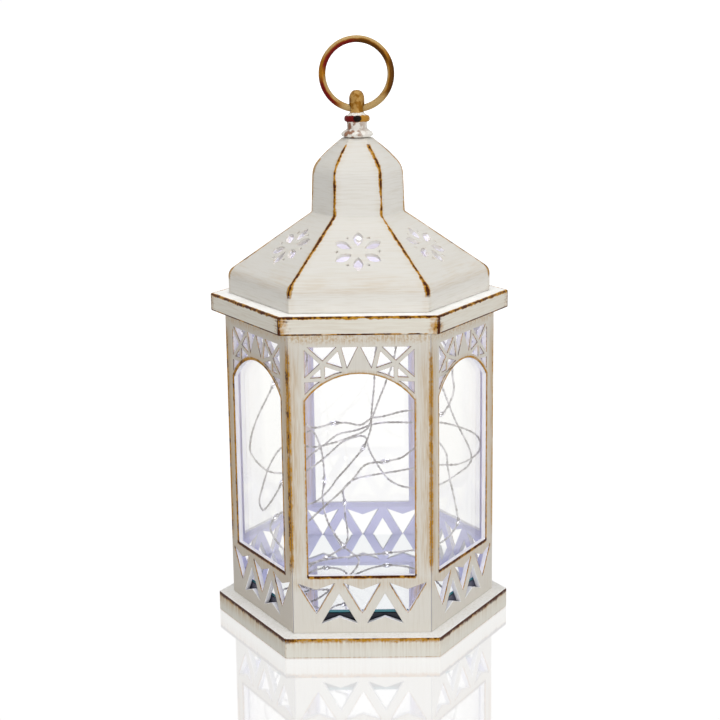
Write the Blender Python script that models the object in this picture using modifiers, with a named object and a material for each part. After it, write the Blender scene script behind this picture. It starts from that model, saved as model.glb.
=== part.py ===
"""Six-sided plastic lantern with pierced walls, glazed windows, a mirror floor, a string of micro
lights, a ring handle and a battery compartment in the base.

The origin is on the surface it stands on, at the middle of the base. The front wall faces -Y,
and two corners of the hexagon lie on the X axis. Lengths are in metres.
"""

import math

import bmesh
import bpy
from mathutils import Matrix, Vector
from mathutils.geometry import interpolate_bezier

SIDES = 6
COS30 = math.cos(math.radians(30.0))
TAN30 = math.tan(math.radians(30.0))

# The gap that touching pieces keep, and the running gap round pieces that move.
SEAT_GAP = 0.0003
RUNNING_GAP = 0.0005

# Walls. Radii of six-sided pieces are measured to their corners.
WALL_RADIUS = 0.0630
WALL_HEIGHT = 0.1390
WALL_THICKNESS = 0.0026
JAMB_WIDTH = 0.0075
SILL_HEIGHT = 0.0271
HEAD_RAIL = 0.0064

# Segmental arch over each window, and the pierced field above it.
ARCH_RISE = 0.0121
ARCH_BAND = 0.0019
FRET_HEIGHT = 0.0241
FRET_BAR = 0.0019
FRET_KNOT_IN = 0.0080
FRET_KNOT_DROP = 0.0074
FRET_STAY_TOP = 0.0088
FRET_STAY_FOOT = 0.0062
KEYSTONE_HALF = 0.0060
KEYSTONE_TIP = 0.0007

# Row of arrow openings under the sill.
ARROW_PITCH = 0.0207
ARROW_HALF = 0.0082
ARROW_LENGTH = 0.0143
ARROW_NOTCH = 0.0031
ARROW_FOOT = 0.0043
ARROW_STEP = 0.0050

# Clear panes behind the walls.
PANE_THICKNESS = 0.0010
PANE_OVERLAP = 0.0020

# Plinth, floor tray and mirror.
PLINTH_OVERHANG = 0.0070
PLINTH_HEIGHT = 0.0096
PLINTH_SKIN = 0.0024
TRAY_SKIN = 0.0016
TRAY_CLEARANCE = 0.0007
MIRROR_THICKNESS = 0.0015

# Cornice over the walls.
CORNICE_OVERHANG = 0.0065
CORNICE_HEIGHT = 0.0080
CORNICE_LIP = 0.0030
CORNICE_LIP_WIDTH = 0.0039

# Roof with its cupola.
ROOF_INSET = 0.0021
ROOF_SKIN = 0.0020
EAVE_HEIGHT = 0.0103
EAVE_ROUND = 0.0050
ROOF_RISE = 0.0270
CUPOLA_RADIUS = 0.0216
CUPOLA_TAPER = 0.0008
CUPOLA_HEIGHT = 0.0210
CUPOLA_ROUND = 0.0105
CUPOLA_CONE = 0.0128
CUPOLA_SWELL = 0.0005
CUPOLA_SWELL_ROUND = 0.0300
CUPOLA_CROWN = 0.0072

# Six-petalled flower cut through each slope of the roof.
PETALS = 6
FLOWER_DOWN = 0.0212
PETAL_IN = 0.0035
PETAL_LENGTH = 0.0080
PETAL_WIDTH = 0.0042
DROP_RADIUS = 0.0094
DROP_SIZE = 0.0014

# Turned finial with the eye for the ring.
FLANGE_RADIUS = 0.0073
FLANGE_HEIGHT = 0.0036
NECK_RADIUS = 0.0046
NECK_HEIGHT = 0.0034
COLLAR_RADIUS = 0.0058
COLLAR_HEIGHT = 0.0030
POST_RADIUS = 0.0035
POST_HEIGHT = 0.0112
STUD_RADIUS = 0.0020
NUT_RADIUS = 0.0040
NUT_HEIGHT = 0.0030

# Ring handle.
RING_RADIUS = 0.0156
RING_THICKNESS = 0.0032
EYE_HEIGHT = 0.0027
EYE_CLEARANCE = 0.0006
POST_FOOT = 0.0004

# Battery compartment. The cells are three of the slim 44.5 mm size.
CELL_LENGTH = 0.0445
CELL_RADIUS = 0.00525
CELL_GAP = 0.0011
CELL_COUNT = 3
CELL_NUB = 0.0010
CONTACT_THICKNESS = 0.0005
CONTACT_GAP = 0.0012
CONTACT_HEIGHT = 0.0079
BOX_WALL = 0.0010
BOX_BACK = 0.0060
COVER_RECESS = 0.0020
COVER_THICKNESS = 0.0020
DOOR_MARGIN = 0.0020
DOOR_PIN = 0.0020
DOOR_PIN_REACH = 0.0015
LATCH_WIDTH = 0.0120
LATCH_LENGTH = 0.0040

# Slide switch and timer board, in front of the cells.
BOARD_GAP = 0.0044
SWITCH_LENGTH = 0.0086
SWITCH_WIDTH = 0.0040
SWITCH_HEIGHT = 0.0036
SWITCH_TRAVEL = 0.0040
KNOB_SIZE = 0.0020
KNOB_DROP = 0.0010
BOARD_LENGTH = 0.0240
BOARD_WIDTH = 0.0130
BOARD_THICKNESS = 0.0010
BOARD_POST = 0.0020

# Screws that hold the cover to the tray.
SCREW_RADIUS = 0.0011
SCREW_HEAD = 0.0022
SCREW_HEAD_HEIGHT = 0.0014
SCREW_LENGTH = 0.0090
SCREW_INSET = 0.0190
BOSS_RADIUS = 0.0031
SCREW_CLEARANCE = 0.0003

# Grommet that leads the light string up through the mirror.
GROMMET_X = -0.0280
GROMMET_Y = -0.0260
GROMMET_BORE = 0.0009
GROMMET_WALL = 0.0010
GROMMET_FLANGE = 0.0012
GROMMET_HEAD = 0.0010

# Light string: twin lacquered wire with a drop of clear resin over each light.
WIRE_THICKNESS = 0.0009
DROP_THICKNESS = 0.0028
DROP_LENGTH = 0.0060
LEAD_THICKNESS = 0.0012
WIRE_STEP = 0.0060
MM = 0.001

# Route of each length of the string in millimetres, and which of its points carry a light.
ROUTE_1 = (
    (-28, -26, 21.4), (-28, -25, 25), (-24, -18, 29), (-6, 4, 25), (12, 14, 23), (30, 12, 26),
    (40, 4, 33), (46, -4, 45), (45.5, -4, 50), (41, -6, 73), (40, -9, 81), (35, -11, 87.5),
    (25, -12, 84), (19, -13, 80), (11, -14, 78.5), (2, -16, 77.5), (-3.5, -19, 72), (-9.5, -22, 66.5),
    (-15, -24, 62), (-23, -22, 54), (-29, -14, 44.5), (-29, -4, 28),
)
ROUTE_2 = (
    (-29.5, -3, 28), (-38, 1, 30), (-44.5, 2, 41), (-42, 2, 46), (-34.5, 0, 51.5), (-22.5, -2, 55),
    (-14.5, -4, 63), (-12, -5, 67), (-7, -6, 73), (-3.5, -7, 77.5), (1, -8, 83.5), (4.5, -8, 92),
    (5, -8, 98.5), (5.5, -8, 104.5), (6.5, -8, 114), (7, -9, 128), (9, -10, 137), (13, -13, 141),
    (16.5, -17, 137), (15.5, -18, 128), (12, -17, 118),
)
ROUTE_3 = (
    (11.8, -17, 117.2), (8.5, -16, 108.5), (5.5, -15, 100.5), (3, -14, 94.5), (-3.5, -12, 90.5),
    (-13, -13, 87.5), (-23, -11, 85), (-31, -5, 85), (-38, -1, 82), (-44, 1, 72.5), (-48, 2, 60.5),
    (-49.5, 3, 53.5), (-48, 6, 48.5), (-44, 8, 52.5), (-38.5, 8, 62), (-30.5, 8, 77), (-27.5, 8, 86),
    (-23.5, 8, 87.5), (-20, 7, 81), (-18.5, 7, 73), (-18, 6, 63), (-19, 6, 56), (-17, 4, 44),
    (-9, -8, 35), (-1.5, -24, 33.5), (-4.5, -34, 31), (-14, -40, 25),
)
ROUTE_4 = (
    (-15, -40, 25), (-24, -36, 24), (-34, -24, 24), (-33, -8, 23), (-18, 10, 22.5), (-8, 16, 28),
    (-8.5, 14, 44.5), (-8.5, 12, 50), (-9, 8, 58), (-4, 4, 64), (5.5, 2, 67), (16.5, 1, 69),
    (22, 1, 70), (30, 1, 71), (38, 1, 72), (46.5, 2, 72), (53.5, 1.5, 75.5), (56.5, 0.5, 79.5),
    (56.5, 0, 84.5), (53.5, 0, 88), (42, 0, 92.5), (33, -1, 94), (24, -2, 94), (16.5, -3, 94.5),
    (7.5, -3, 94), (-2.5, -4, 91), (-11, -4, 89), (-18, -6, 84), (-23, -8, 81), (-29.5, -12, 76),
    (-37.5, -13, 73), (-45, -12, 74.5), (-52, -9, 82), (-52, -8, 88), (-49, -6, 97.5),
    (-41, -2, 113.5), (-37, 2, 124), (-30, 6, 131), (-25, 4, 126),
)
ROUTE_5 = (
    (-25, 3, 125.2), (-26, -2, 116), (-28, -14, 108), (-27, -20, 101), (-22, -22, 97.5),
    (-12, -20, 99), (-6, -20, 99), (0, -20, 98), (5, -20, 101), (10.5, -20, 102),
    (21.5, -18, 104), (29.5, -15, 102), (37.5, -12, 100.5), (42.5, -8, 106.5), (44, -5, 111.5),
    (43.5, -2, 116), (43, 4, 125), (36, 10, 134), (30, 16, 128), (38, 18, 110), (45, 15, 92),
    (53, 6, 73), (46, 8, 65), (39, 8, 60.5), (31, 7, 58.5), (20, 7, 59.5), (13, 6, 63.5),
    (7.5, 4, 72), (4, 3, 79), (1.5, 3, 86), (-8.5, 3, 83.5), (-16, 3, 77), (-22.5, 4, 71.5),
    (-29.5, 6, 66.5), (-33, 14, 60),
)
STRING_ROUTES = (
    (ROUTE_1, (4, 7, 14, 20)),
    (ROUTE_2, (3, 10, 16)),
    (ROUTE_3, (7, 14, 20, 23)),
    (ROUTE_4, (4, 7, 13, 29, 35)),
    (ROUTE_5, (5, 12, 17, 24, 34)),
)

# Heights worked out from the sizes above.
DECK_Z = PLINTH_HEIGHT
WALL_Z = DECK_Z + SEAT_GAP
WALL_TOP_Z = WALL_Z + WALL_HEIGHT
CORNICE_Z = WALL_TOP_Z + SEAT_GAP
CORNICE_TOP_Z = CORNICE_Z + CORNICE_HEIGHT
ROOF_Z = CORNICE_TOP_Z + SEAT_GAP
EAVE_Z = ROOF_Z + EAVE_HEIGHT
CUPOLA_Z = EAVE_Z + ROOF_RISE
SHOULDER_Z = CUPOLA_Z + CUPOLA_HEIGHT
CROWN_Z = SHOULDER_Z + CUPOLA_CONE
FINIAL_Z = CROWN_Z + SEAT_GAP
NECK_Z = FINIAL_Z + FLANGE_HEIGHT
COLLAR_Z = NECK_Z + NECK_HEIGHT
POST_Z = COLLAR_Z + COLLAR_HEIGHT
EYE_Z = POST_Z + EYE_HEIGHT
COVER_TOP_Z = COVER_RECESS + COVER_THICKNESS
BOX_Z = COVER_TOP_Z + SEAT_GAP
CELL_Z = BOX_Z + CELL_RADIUS
BOX_ROOF_Z = CELL_Z + CELL_RADIUS + SEAT_GAP
BOX_TOP_Z = BOX_ROOF_Z + BOX_WALL
TRAY_UNDER_Z = BOX_TOP_Z + SEAT_GAP
TRAY_TOP_Z = TRAY_UNDER_Z + TRAY_SKIN
MIRROR_Z = TRAY_TOP_Z + SEAT_GAP
FLOOR_Z = MIRROR_Z + MIRROR_THICKNESS

# Radii worked out from the sizes above.
PLINTH_RADIUS = WALL_RADIUS + PLINTH_OVERHANG
CORNICE_RADIUS = WALL_RADIUS + CORNICE_OVERHANG
ROOF_RADIUS = WALL_RADIUS - ROOF_INSET
WALL_FACE = WALL_RADIUS * COS30
WALL_BACK_RADIUS = WALL_RADIUS - WALL_THICKNESS / COS30
TRAY_RADIUS = WALL_BACK_RADIUS - TRAY_CLEARANCE
PLINTH_INNER = PLINTH_RADIUS - PLINTH_SKIN / COS30
WINDOW_HALF = WALL_RADIUS / 2 - JAMB_WIDTH
SCREW_CIRCLE = WALL_RADIUS - SCREW_INSET
SWITCH_FRONT = SCREW_CIRCLE - BOSS_RADIUS - BOARD_GAP - BOARD_WIDTH / 2


def clear_scene():
    """Removes what the scene holds and makes the two collections."""
    for old in list(bpy.data.objects):
        bpy.data.objects.remove(old)
    made = []
    for name in ("lantern", "cutters"):
        collection = bpy.data.collections.new(name)
        bpy.context.scene.collection.children.link(collection)
        made.append(collection)
    return made


def finish(name, colour, roughness, metallic=0.0, alpha=1.0):
    """A Principled material with the piece's colour."""
    material = bpy.data.materials.new(name)
    material.use_nodes = True
    shader = material.node_tree.nodes["Principled BSDF"]
    shader.inputs["Base Color"].default_value = (*colour, 1.0)
    shader.inputs["Roughness"].default_value = roughness
    shader.inputs["Metallic"].default_value = metallic
    shader.inputs["Alpha"].default_value = alpha
    return material


LANTERN, CUTTERS = clear_scene()
WHITE = dict(colour=(0.80, 0.78, 0.73), roughness=0.55)
SOFT_WHITE = dict(colour=(0.75, 0.75, 0.75), roughness=0.6)
BLACK = dict(colour=(0.02, 0.02, 0.022), roughness=0.5)
CLEAR = dict(colour=(0.95, 0.95, 0.92), roughness=0.05, alpha=0.2)
SILVERED = dict(colour=(0.85, 0.88, 0.90), roughness=0.03, metallic=1.0)
BRONZE = dict(colour=(0.45, 0.29, 0.09), roughness=0.4, metallic=0.8)
NICKEL = dict(colour=(0.62, 0.61, 0.58), roughness=0.3, metallic=1.0)
BOARD_GREEN = dict(colour=(0.03, 0.22, 0.08), roughness=0.4)
CELL_WRAP = dict(colour=(0.12, 0.13, 0.15), roughness=0.35)
WIRE_SILVER = dict(colour=(0.42, 0.43, 0.45), roughness=0.3, metallic=0.9)
LEAD_RED = dict(colour=(0.45, 0.03, 0.02), roughness=0.45)


def place(name, mesh, look, matrix=None):
    """A node: a mesh object in the lantern's collection with its own material."""
    obj = bpy.data.objects.new(name, mesh)
    if matrix is not None:
        obj.matrix_world = matrix
    LANTERN.objects.link(obj)
    if look is not None:
        mesh.materials.clear()
        mesh.materials.append(finish(name, **look))
    return obj


def helper(name, mesh, matrix=None):
    """A cutter, which no render shows."""
    obj = bpy.data.objects.new(name, mesh)
    if matrix is not None:
        obj.matrix_world = matrix
    CUTTERS.objects.link(obj)
    obj.hide_render = True
    obj.display_type = "WIRE"
    return obj


def boolean(obj, other, operation="DIFFERENCE"):
    modifier = obj.modifiers.new(operation.lower() + "_" + other.name, "BOOLEAN")
    modifier.operation = operation
    modifier.solver = "EXACT"
    modifier.object = other
    return modifier


def box_mesh(name, size, centre):
    """A box of the given size, its centre in the mesh."""
    mesh = bpy.data.meshes.new(name)
    box = bmesh.new()
    move = Matrix.Translation(centre) @ Matrix.Diagonal((*size, 1.0))
    bmesh.ops.create_cube(box, size=1.0, matrix=move)
    box.to_mesh(mesh)
    box.free()
    return mesh


def rod_mesh(name, radius, low, high, x=0.0, y=0.0, segments=16):
    """An upright round bar from one height to another."""
    mesh = bpy.data.meshes.new(name)
    rod = bmesh.new()
    move = Matrix.Translation((x, y, (low + high) / 2))
    bmesh.ops.create_cone(
        rod, cap_ends=True, segments=segments, radius1=radius, radius2=radius, depth=high - low, matrix=move
    )
    rod.to_mesh(mesh)
    rod.free()
    return mesh


def turned(name, profile, look, steps, closed=False, smooth=True):
    """A profile of (radius, height) points turned about Z, top to bottom down its outer side."""
    mesh = bpy.data.meshes.new(name)
    section = bmesh.new()
    corners = [section.verts.new((radius, 0.0, height)) for radius, height in profile]
    for first, second in zip(corners, corners[1:]):
        section.edges.new((first, second))
    if closed:
        section.edges.new((corners[-1], corners[0]))
    section.to_mesh(mesh)
    section.free()
    obj = place(name, mesh, look)
    screw = obj.modifiers.new("turn", "SCREW")
    screw.steps = steps
    screw.render_steps = steps
    screw.use_merge_vertices = True
    screw.merge_threshold = 0.00001
    screw.use_smooth_shade = smooth
    return obj


def rounded(before, corner, after, radius, pieces=5):
    """Points of an arc of the given radius that rounds off a corner."""
    corner = Vector(corner)
    first = (Vector(before) - corner).normalized()
    second = (Vector(after) - corner).normalized()
    half = first.angle(second) / 2
    reach = min(radius / math.tan(half), 0.45 * (Vector(before) - corner).length)
    reach = min(reach, 0.45 * (Vector(after) - corner).length)
    start = corner + first * reach
    end = corner + second * reach
    centre = corner + (first + second).normalized() * reach / math.cos(half)
    swing = (start - centre).angle(end - centre)
    arc = []
    for step in range(pieces + 1):
        share = step / pieces
        arm = (start - centre) * math.sin((1 - share) * swing) + (end - centre) * math.sin(share * swing)
        arc.append(tuple(centre + arm / math.sin(swing)))
    return arc


def solid_of(obj):
    """The object as its modifiers or its curve leave it, as a plain mesh with its seams closed."""
    bpy.context.view_layer.update()
    graph = bpy.context.evaluated_depsgraph_get()
    mesh = bpy.data.meshes.new_from_object(obj.evaluated_get(graph))
    mesh.name = obj.name
    body = bmesh.new()
    body.from_mesh(mesh)
    bmesh.ops.remove_doubles(body, verts=body.verts, dist=0.000002)
    bmesh.ops.recalc_face_normals(body, faces=body.faces)
    body.to_mesh(mesh)
    body.free()
    return mesh


def sheet_mesh(name, outlines, thickness):
    """A flat sheet in XY, centred on Z = 0, from an outline and the outlines of its openings."""
    curve = bpy.data.curves.new(name, "CURVE")
    curve.dimensions = "2D"
    curve.fill_mode = "BOTH"
    curve.extrude = thickness / 2
    for outline in outlines:
        spline = curve.splines.new("POLY")
        spline.points.add(len(outline) - 1)
        spline.use_cyclic_u = True
        for point, (x, y) in zip(spline.points, outline):
            point.co = (x, y, 0.0, 1.0)
    guide = bpy.data.objects.new(name, curve)
    CUTTERS.objects.link(guide)
    mesh = solid_of(guide)
    bpy.data.objects.remove(guide)
    bpy.data.curves.remove(curve)
    return mesh


def inset(corners, margins):
    """The polygon left when each edge of a counterclockwise one moves in by its own margin."""
    moved = []
    count = len(corners)
    for i in range(count):
        here = Vector(corners[i])
        before = (here - Vector(corners[i - 1])).normalized()
        after = (Vector(corners[(i + 1) % count]) - here).normalized()
        first = here + Vector((-before.y, before.x)) * margins[i - 1]
        second = here + Vector((-after.y, after.x)) * margins[i]
        turn = before.x * after.y - before.y * after.x
        if abs(turn) < 0.02:
            moved.append(tuple((first + second) / 2))
            continue
        gap = second - first
        along = (gap.x * after.y - gap.y * after.x) / turn
        moved.append(tuple(first + before * along))
    return moved


def mirrored(outline):
    return [(-x, y) for x, y in reversed(outline)]


def side_matrix(index, apothem, base):
    """Stands a sheet drawn in XY upright on side `index` of the hexagon, its +Z outward."""
    turn = Matrix.Rotation(math.radians(60.0 * index), 4, "Z")
    return turn @ Matrix.Translation((0.0, -apothem, base)) @ Matrix.Rotation(math.radians(90.0), 4, "X")


def arch_heights():
    """Height of the springing line, radius of the window's head and height of its centre."""
    spring = WALL_HEIGHT - HEAD_RAIL - FRET_HEIGHT
    radius = (WINDOW_HALF**2 + ARCH_RISE**2) / (2 * ARCH_RISE)
    return spring, radius, spring + ARCH_RISE - radius


def window_outline(pieces=14):
    """The window: a sill, two jambs and a segmental arch."""
    spring, radius, centre = arch_heights()
    swing = math.asin(WINDOW_HALF / radius)
    outline = [(-WINDOW_HALF, SILL_HEIGHT), (WINDOW_HALF, SILL_HEIGHT)]
    for step in range(pieces + 1):
        angle = swing * (1 - 2 * step / pieces)
        outline.append((radius * math.sin(angle), centre + radius * math.cos(angle)))
    return outline


def arch_back(x):
    """Height of the arch band's upper edge."""
    _, radius, centre = arch_heights()
    return centre + math.sqrt((radius + ARCH_BAND) ** 2 - x**2)


def fret_cells():
    """The openings of the pierced field in the left half: triangles between crossing bars."""
    top = WALL_HEIGHT - HEAD_RAIL
    bar = FRET_BAR / 2
    jamb = -WINDOW_HALF
    knot = (jamb + FRET_KNOT_IN, top - FRET_KNOT_DROP)
    corner = (jamb, top)
    stay_top = (-FRET_STAY_TOP, top)
    stay_foot = (-FRET_STAY_FOOT, arch_back(FRET_STAY_FOOT))
    side_low = (jamb, 2 * knot[1] - top)
    post_foot = (knot[0], arch_back(knot[0]))
    jamb_foot = (jamb, arch_back(jamb))
    apex = (-KEYSTONE_TIP, top)
    keystone = (-KEYSTONE_HALF, arch_back(KEYSTONE_HALF))
    middle = (post_foot[0] + stay_foot[0]) / 2
    arch_middle = (middle, arch_back(middle))
    quarter = (jamb + post_foot[0]) / 2
    arch_quarter = (quarter, arch_back(quarter))
    cells = [
        inset([corner, knot, stay_top], [bar, bar, 0.0]),
        inset([corner, side_low, knot], [0.0, bar, bar]),
        inset([knot, stay_foot, stay_top], [bar, bar, bar]),
        inset([knot, post_foot, arch_middle, stay_foot], [bar, 0.0, 0.0, bar]),
        inset([side_low, post_foot, knot], [bar, bar, bar]),
        inset([side_low, jamb_foot, arch_quarter, post_foot], [0.0, 0.0, 0.0, bar]),
        inset([stay_top, keystone, apex], [bar, 0.0, 0.0]),
    ]
    return [cell for cell in cells if area(cell) > 0]


def area(outline):
    """Signed area of an outline, positive when it runs counterclockwise."""
    total = 0.0
    for (x0, y0), (x1, y1) in zip(outline, outline[1:] + outline[:1]):
        total += x0 * y1 - x1 * y0
    return total / 2


def arrow(x, tip, up):
    """An arrowhead opening with its tip at one height, pointing up or down."""
    way = -1 if up else 1
    tail = tip + way * ARROW_LENGTH
    outline = [
        (x, tip),
        (x + ARROW_HALF, tail),
        (x, tail - way * ARROW_NOTCH),
        (x - ARROW_HALF, tail),
    ]
    return outline if area(outline) > 0 else outline[::-1]


def arrow_row():
    """Three arrowheads point down and two, half a pitch along, point up."""
    down_tip = ARROW_FOOT + ARROW_STEP
    up_tip = ARROW_FOOT + ARROW_LENGTH
    row = [arrow(place_x * ARROW_PITCH, down_tip, up=False) for place_x in (-1, 0, 1)]
    row += [arrow(place_x * ARROW_PITCH, up_tip, up=True) for place_x in (-0.5, 0.5)]
    return row


def wall_mesh():
    """One wall, flat, with its side edges mitred to meet the next wall at 120 degrees."""
    half = WALL_RADIUS / 2 - SEAT_GAP / 2
    outline = [(-half, 0.0), (half, 0.0), (half, WALL_HEIGHT), (-half, WALL_HEIGHT)]
    cells = fret_cells()
    openings = [window_outline()] + cells + [mirrored(cell) for cell in cells] + arrow_row()
    mesh = sheet_mesh("wall", [outline] + openings, WALL_THICKNESS)
    for vertex in mesh.vertices:
        if vertex.co.z < 0 and abs(vertex.co.x) > half - SEAT_GAP:
            vertex.co.x -= math.copysign(WALL_THICKNESS * TAN30, vertex.co.x)
    return mesh


def make_walls():
    shared = wall_mesh()
    for index in range(SIDES):
        matrix = side_matrix(index, WALL_FACE - WALL_THICKNESS / 2, WALL_Z)
        place(f"wall_panel_{index + 1}", shared.copy(), WHITE, matrix)


def make_panes():
    """Clear panes behind the walls, from under the sill to over the pierced field."""
    width = 2 * (WINDOW_HALF + PANE_OVERLAP)
    bottom = SILL_HEIGHT - PANE_OVERLAP
    top = WALL_HEIGHT - HEAD_RAIL + PANE_OVERLAP
    apothem = WALL_FACE - WALL_THICKNESS - SEAT_GAP - PANE_THICKNESS / 2
    for index in range(SIDES):
        mesh = box_mesh("pane", (width, top - bottom, PANE_THICKNESS), (0.0, (top + bottom) / 2, 0.0))
        place(f"window_pane_{index + 1}", mesh, CLEAR, side_matrix(index, apothem, WALL_Z))


def make_plinth():
    """A stepped six-sided ring, open underneath, with the deck that the walls stand on."""
    deck_under = PLINTH_HEIGHT - PLINTH_SKIN
    hole = TRAY_RADIUS + TRAY_CLEARANCE
    profile = [
        (PLINTH_RADIUS, PLINTH_HEIGHT),
        (PLINTH_RADIUS, 0.0),
        (PLINTH_INNER, 0.0),
        (PLINTH_INNER, deck_under),
        (hole, deck_under),
        (hole, PLINTH_HEIGHT),
    ]
    turned("base_plinth", profile, WHITE, SIDES, closed=True, smooth=False)


def screw_places():
    for angle in (30.0, 150.0, 270.0):
        yield SCREW_CIRCLE * math.cos(math.radians(angle)), SCREW_CIRCLE * math.sin(math.radians(angle))


def make_tray():
    """Black tray that carries the mirror: a six-sided cap with a flange under the plinth's deck."""
    flange_top = PLINTH_HEIGHT - PLINTH_SKIN - SEAT_GAP
    flange_low = BOX_Z
    flange_radius = PLINTH_INNER - TRAY_CLEARANCE
    inner = TRAY_RADIUS - TRAY_SKIN / COS30
    profile = [
        (0.0, TRAY_TOP_Z),
        (TRAY_RADIUS, TRAY_TOP_Z),
        (TRAY_RADIUS, flange_top),
        (flange_radius, flange_top),
        (flange_radius, flange_low),
        (inner, flange_low),
        (inner, TRAY_UNDER_Z),
        (0.0, TRAY_UNDER_Z),
    ]
    tray = turned("floor_tray", profile, BLACK, SIDES, smooth=False)
    bore = SCREW_RADIUS + SCREW_CLEARANCE
    top = TRAY_TOP_Z - TRAY_SKIN / 2
    for number, (x, y) in enumerate(screw_places(), 1):
        boss = helper(f"boss_{number}", rod_mesh("boss", BOSS_RADIUS, flange_low, top, x, y))
        boolean(tray, boss, "UNION")
        reach = COVER_RECESS + SCREW_LENGTH + SCREW_CLEARANCE
        drill = helper(f"boss_bore_{number}", rod_mesh("bore", bore, 0.0, reach, x, y, 12))
        boolean(tray, drill)
    boolean(tray, grommet_drill())


def grommet_drill():
    """The hole for the grommet, through the mirror and the tray's top."""
    found = CUTTERS.objects.get("grommet_drill")
    if found:
        return found
    radius = GROMMET_BORE + GROMMET_WALL + SCREW_CLEARANCE
    drill = rod_mesh("drill", radius, TRAY_UNDER_Z - TRAY_SKIN, FLOOR_Z + TRAY_SKIN, GROMMET_X, GROMMET_Y)
    return helper("grommet_drill", drill)


def hexagon(radius):
    angles = [math.radians(60.0 * i) for i in range(SIDES)]
    return [(radius * math.cos(angle), radius * math.sin(angle)) for angle in angles]


def rectangle(x0, x1, y0, y1):
    return [(x0, y0), (x1, y0), (x1, y1), (x0, y1)]


def make_mirror():
    mesh = sheet_mesh("mirror_floor", [hexagon(TRAY_RADIUS)], MIRROR_THICKNESS)
    middle = Matrix.Translation((0.0, 0.0, MIRROR_Z + MIRROR_THICKNESS / 2))
    mirror = place("mirror_floor", mesh, SILVERED, middle)
    boolean(mirror, grommet_drill())


def make_grommet():
    neck = GROMMET_BORE + GROMMET_WALL
    rim = neck + GROMMET_FLANGE
    seat = FLOOR_Z + SEAT_GAP
    profile = [
        (neck, seat + GROMMET_HEAD),
        (rim, seat + GROMMET_HEAD / 2),
        (rim, seat),
        (neck, seat),
        (neck, TRAY_UNDER_Z),
        (GROMMET_BORE, TRAY_UNDER_Z),
        (GROMMET_BORE, seat + GROMMET_HEAD),
    ]
    grommet = turned("wire_grommet", profile, SOFT_WHITE, 16, closed=True)
    grommet.location = (GROMMET_X, GROMMET_Y, 0.0)


def make_cornice():
    """Slab over the walls, with a lip down inside them and a rim up inside the roof."""
    lip = TRAY_RADIUS
    inner = lip - CORNICE_LIP_WIDTH
    rim = ROOF_RADIUS - ROOF_SKIN / COS30 - TRAY_CLEARANCE
    profile = [
        (rim, CORNICE_TOP_Z + CORNICE_LIP),
        (rim, CORNICE_TOP_Z),
        (CORNICE_RADIUS, CORNICE_TOP_Z),
        (CORNICE_RADIUS, CORNICE_Z),
        (lip, CORNICE_Z),
        (lip, CORNICE_Z - CORNICE_LIP),
        (inner, CORNICE_Z - CORNICE_LIP),
        (inner, CORNICE_TOP_Z + CORNICE_LIP),
    ]
    turned("cornice_slab", profile, WHITE, SIDES, closed=True, smooth=False)


def roof_profile():
    """The roof's outside from the finial's hole down to the skirt's foot."""
    hole = (STUD_RADIUS + RUNNING_GAP, CROWN_Z)
    crown = (CUPOLA_CROWN, CROWN_Z)
    shoulder = (CUPOLA_RADIUS - CUPOLA_TAPER, SHOULDER_Z)
    foot = (CUPOLA_RADIUS, CUPOLA_Z)
    eave = (ROOF_RADIUS, EAVE_Z)
    skirt = (ROOF_RADIUS, ROOF_Z)
    cone = (Vector(shoulder) - Vector(crown)).normalized()
    swell = (Vector(crown) + Vector(shoulder)) / 2 + CUPOLA_SWELL * Vector((-cone.y, cone.x))
    profile = [hole, crown]
    profile += rounded(crown, swell, shoulder, CUPOLA_SWELL_ROUND, pieces=3)
    profile += rounded(swell, shoulder, foot, CUPOLA_ROUND)
    profile.append(foot)
    profile += rounded(foot, eave, skirt, EAVE_ROUND)
    profile.append(skirt)
    return profile


def petal_outline(angle, pieces=6):
    """A leaf with a fine inner point and a blunt outer one, at an angle round the flower."""
    outline = []
    for side in (1, -1):
        for step in range(pieces):
            share = step / pieces if side > 0 else 1 - step / pieces
            swell = math.sin(math.pi * share**1.15) ** 0.8
            outline.append((PETAL_IN + PETAL_LENGTH * share, -side * swell * PETAL_WIDTH / 2))
    turn = Matrix.Rotation(math.radians(angle), 2)
    return [tuple(turn @ Vector(corner)) for corner in outline]


def drop_outline(angle):
    """A small diamond between two petals."""
    turn = math.radians(angle)
    middle = Vector((DROP_RADIUS * math.cos(turn), DROP_RADIUS * math.sin(turn)))
    return [
        tuple(middle + DROP_SIZE / 2 * Vector((math.cos(turn + a), math.sin(turn + a))))
        for a in (0.0, math.pi / 2, math.pi, 3 * math.pi / 2)
    ]


def flower_cutter():
    """All six flowers as one cutter, square to the slopes."""
    cutter = bmesh.new()
    rise = EAVE_Z - CUPOLA_Z
    run = (ROOF_RADIUS - CUPOLA_RADIUS) * COS30
    pitch = math.atan2(-rise, run)
    forward = CUPOLA_RADIUS * COS30 + FLOWER_DOWN * math.cos(pitch)
    middle = (0.0, -forward, CUPOLA_Z - FLOWER_DOWN * math.sin(pitch))
    outlines = [petal_outline(30.0 + 60.0 * i) for i in range(PETALS)]
    outlines += [drop_outline(60.0 * i) for i in range(PETALS)]
    for outline in outlines:
        mesh = sheet_mesh("cut", [outline], 4 * ROOF_SKIN)
        for index in range(SIDES):
            turn = Matrix.Rotation(math.radians(60.0 * index), 4, "Z")
            lean = Matrix.Rotation(pitch, 4, "X")
            copy = mesh.copy()
            copy.transform(turn @ Matrix.Translation(middle) @ lean)
            cutter.from_mesh(copy)
            bpy.data.meshes.remove(copy)
        bpy.data.meshes.remove(mesh)
    joined = bpy.data.meshes.new("flower_cutter")
    cutter.to_mesh(joined)
    cutter.free()
    return helper("flower_cutter", joined)


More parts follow.
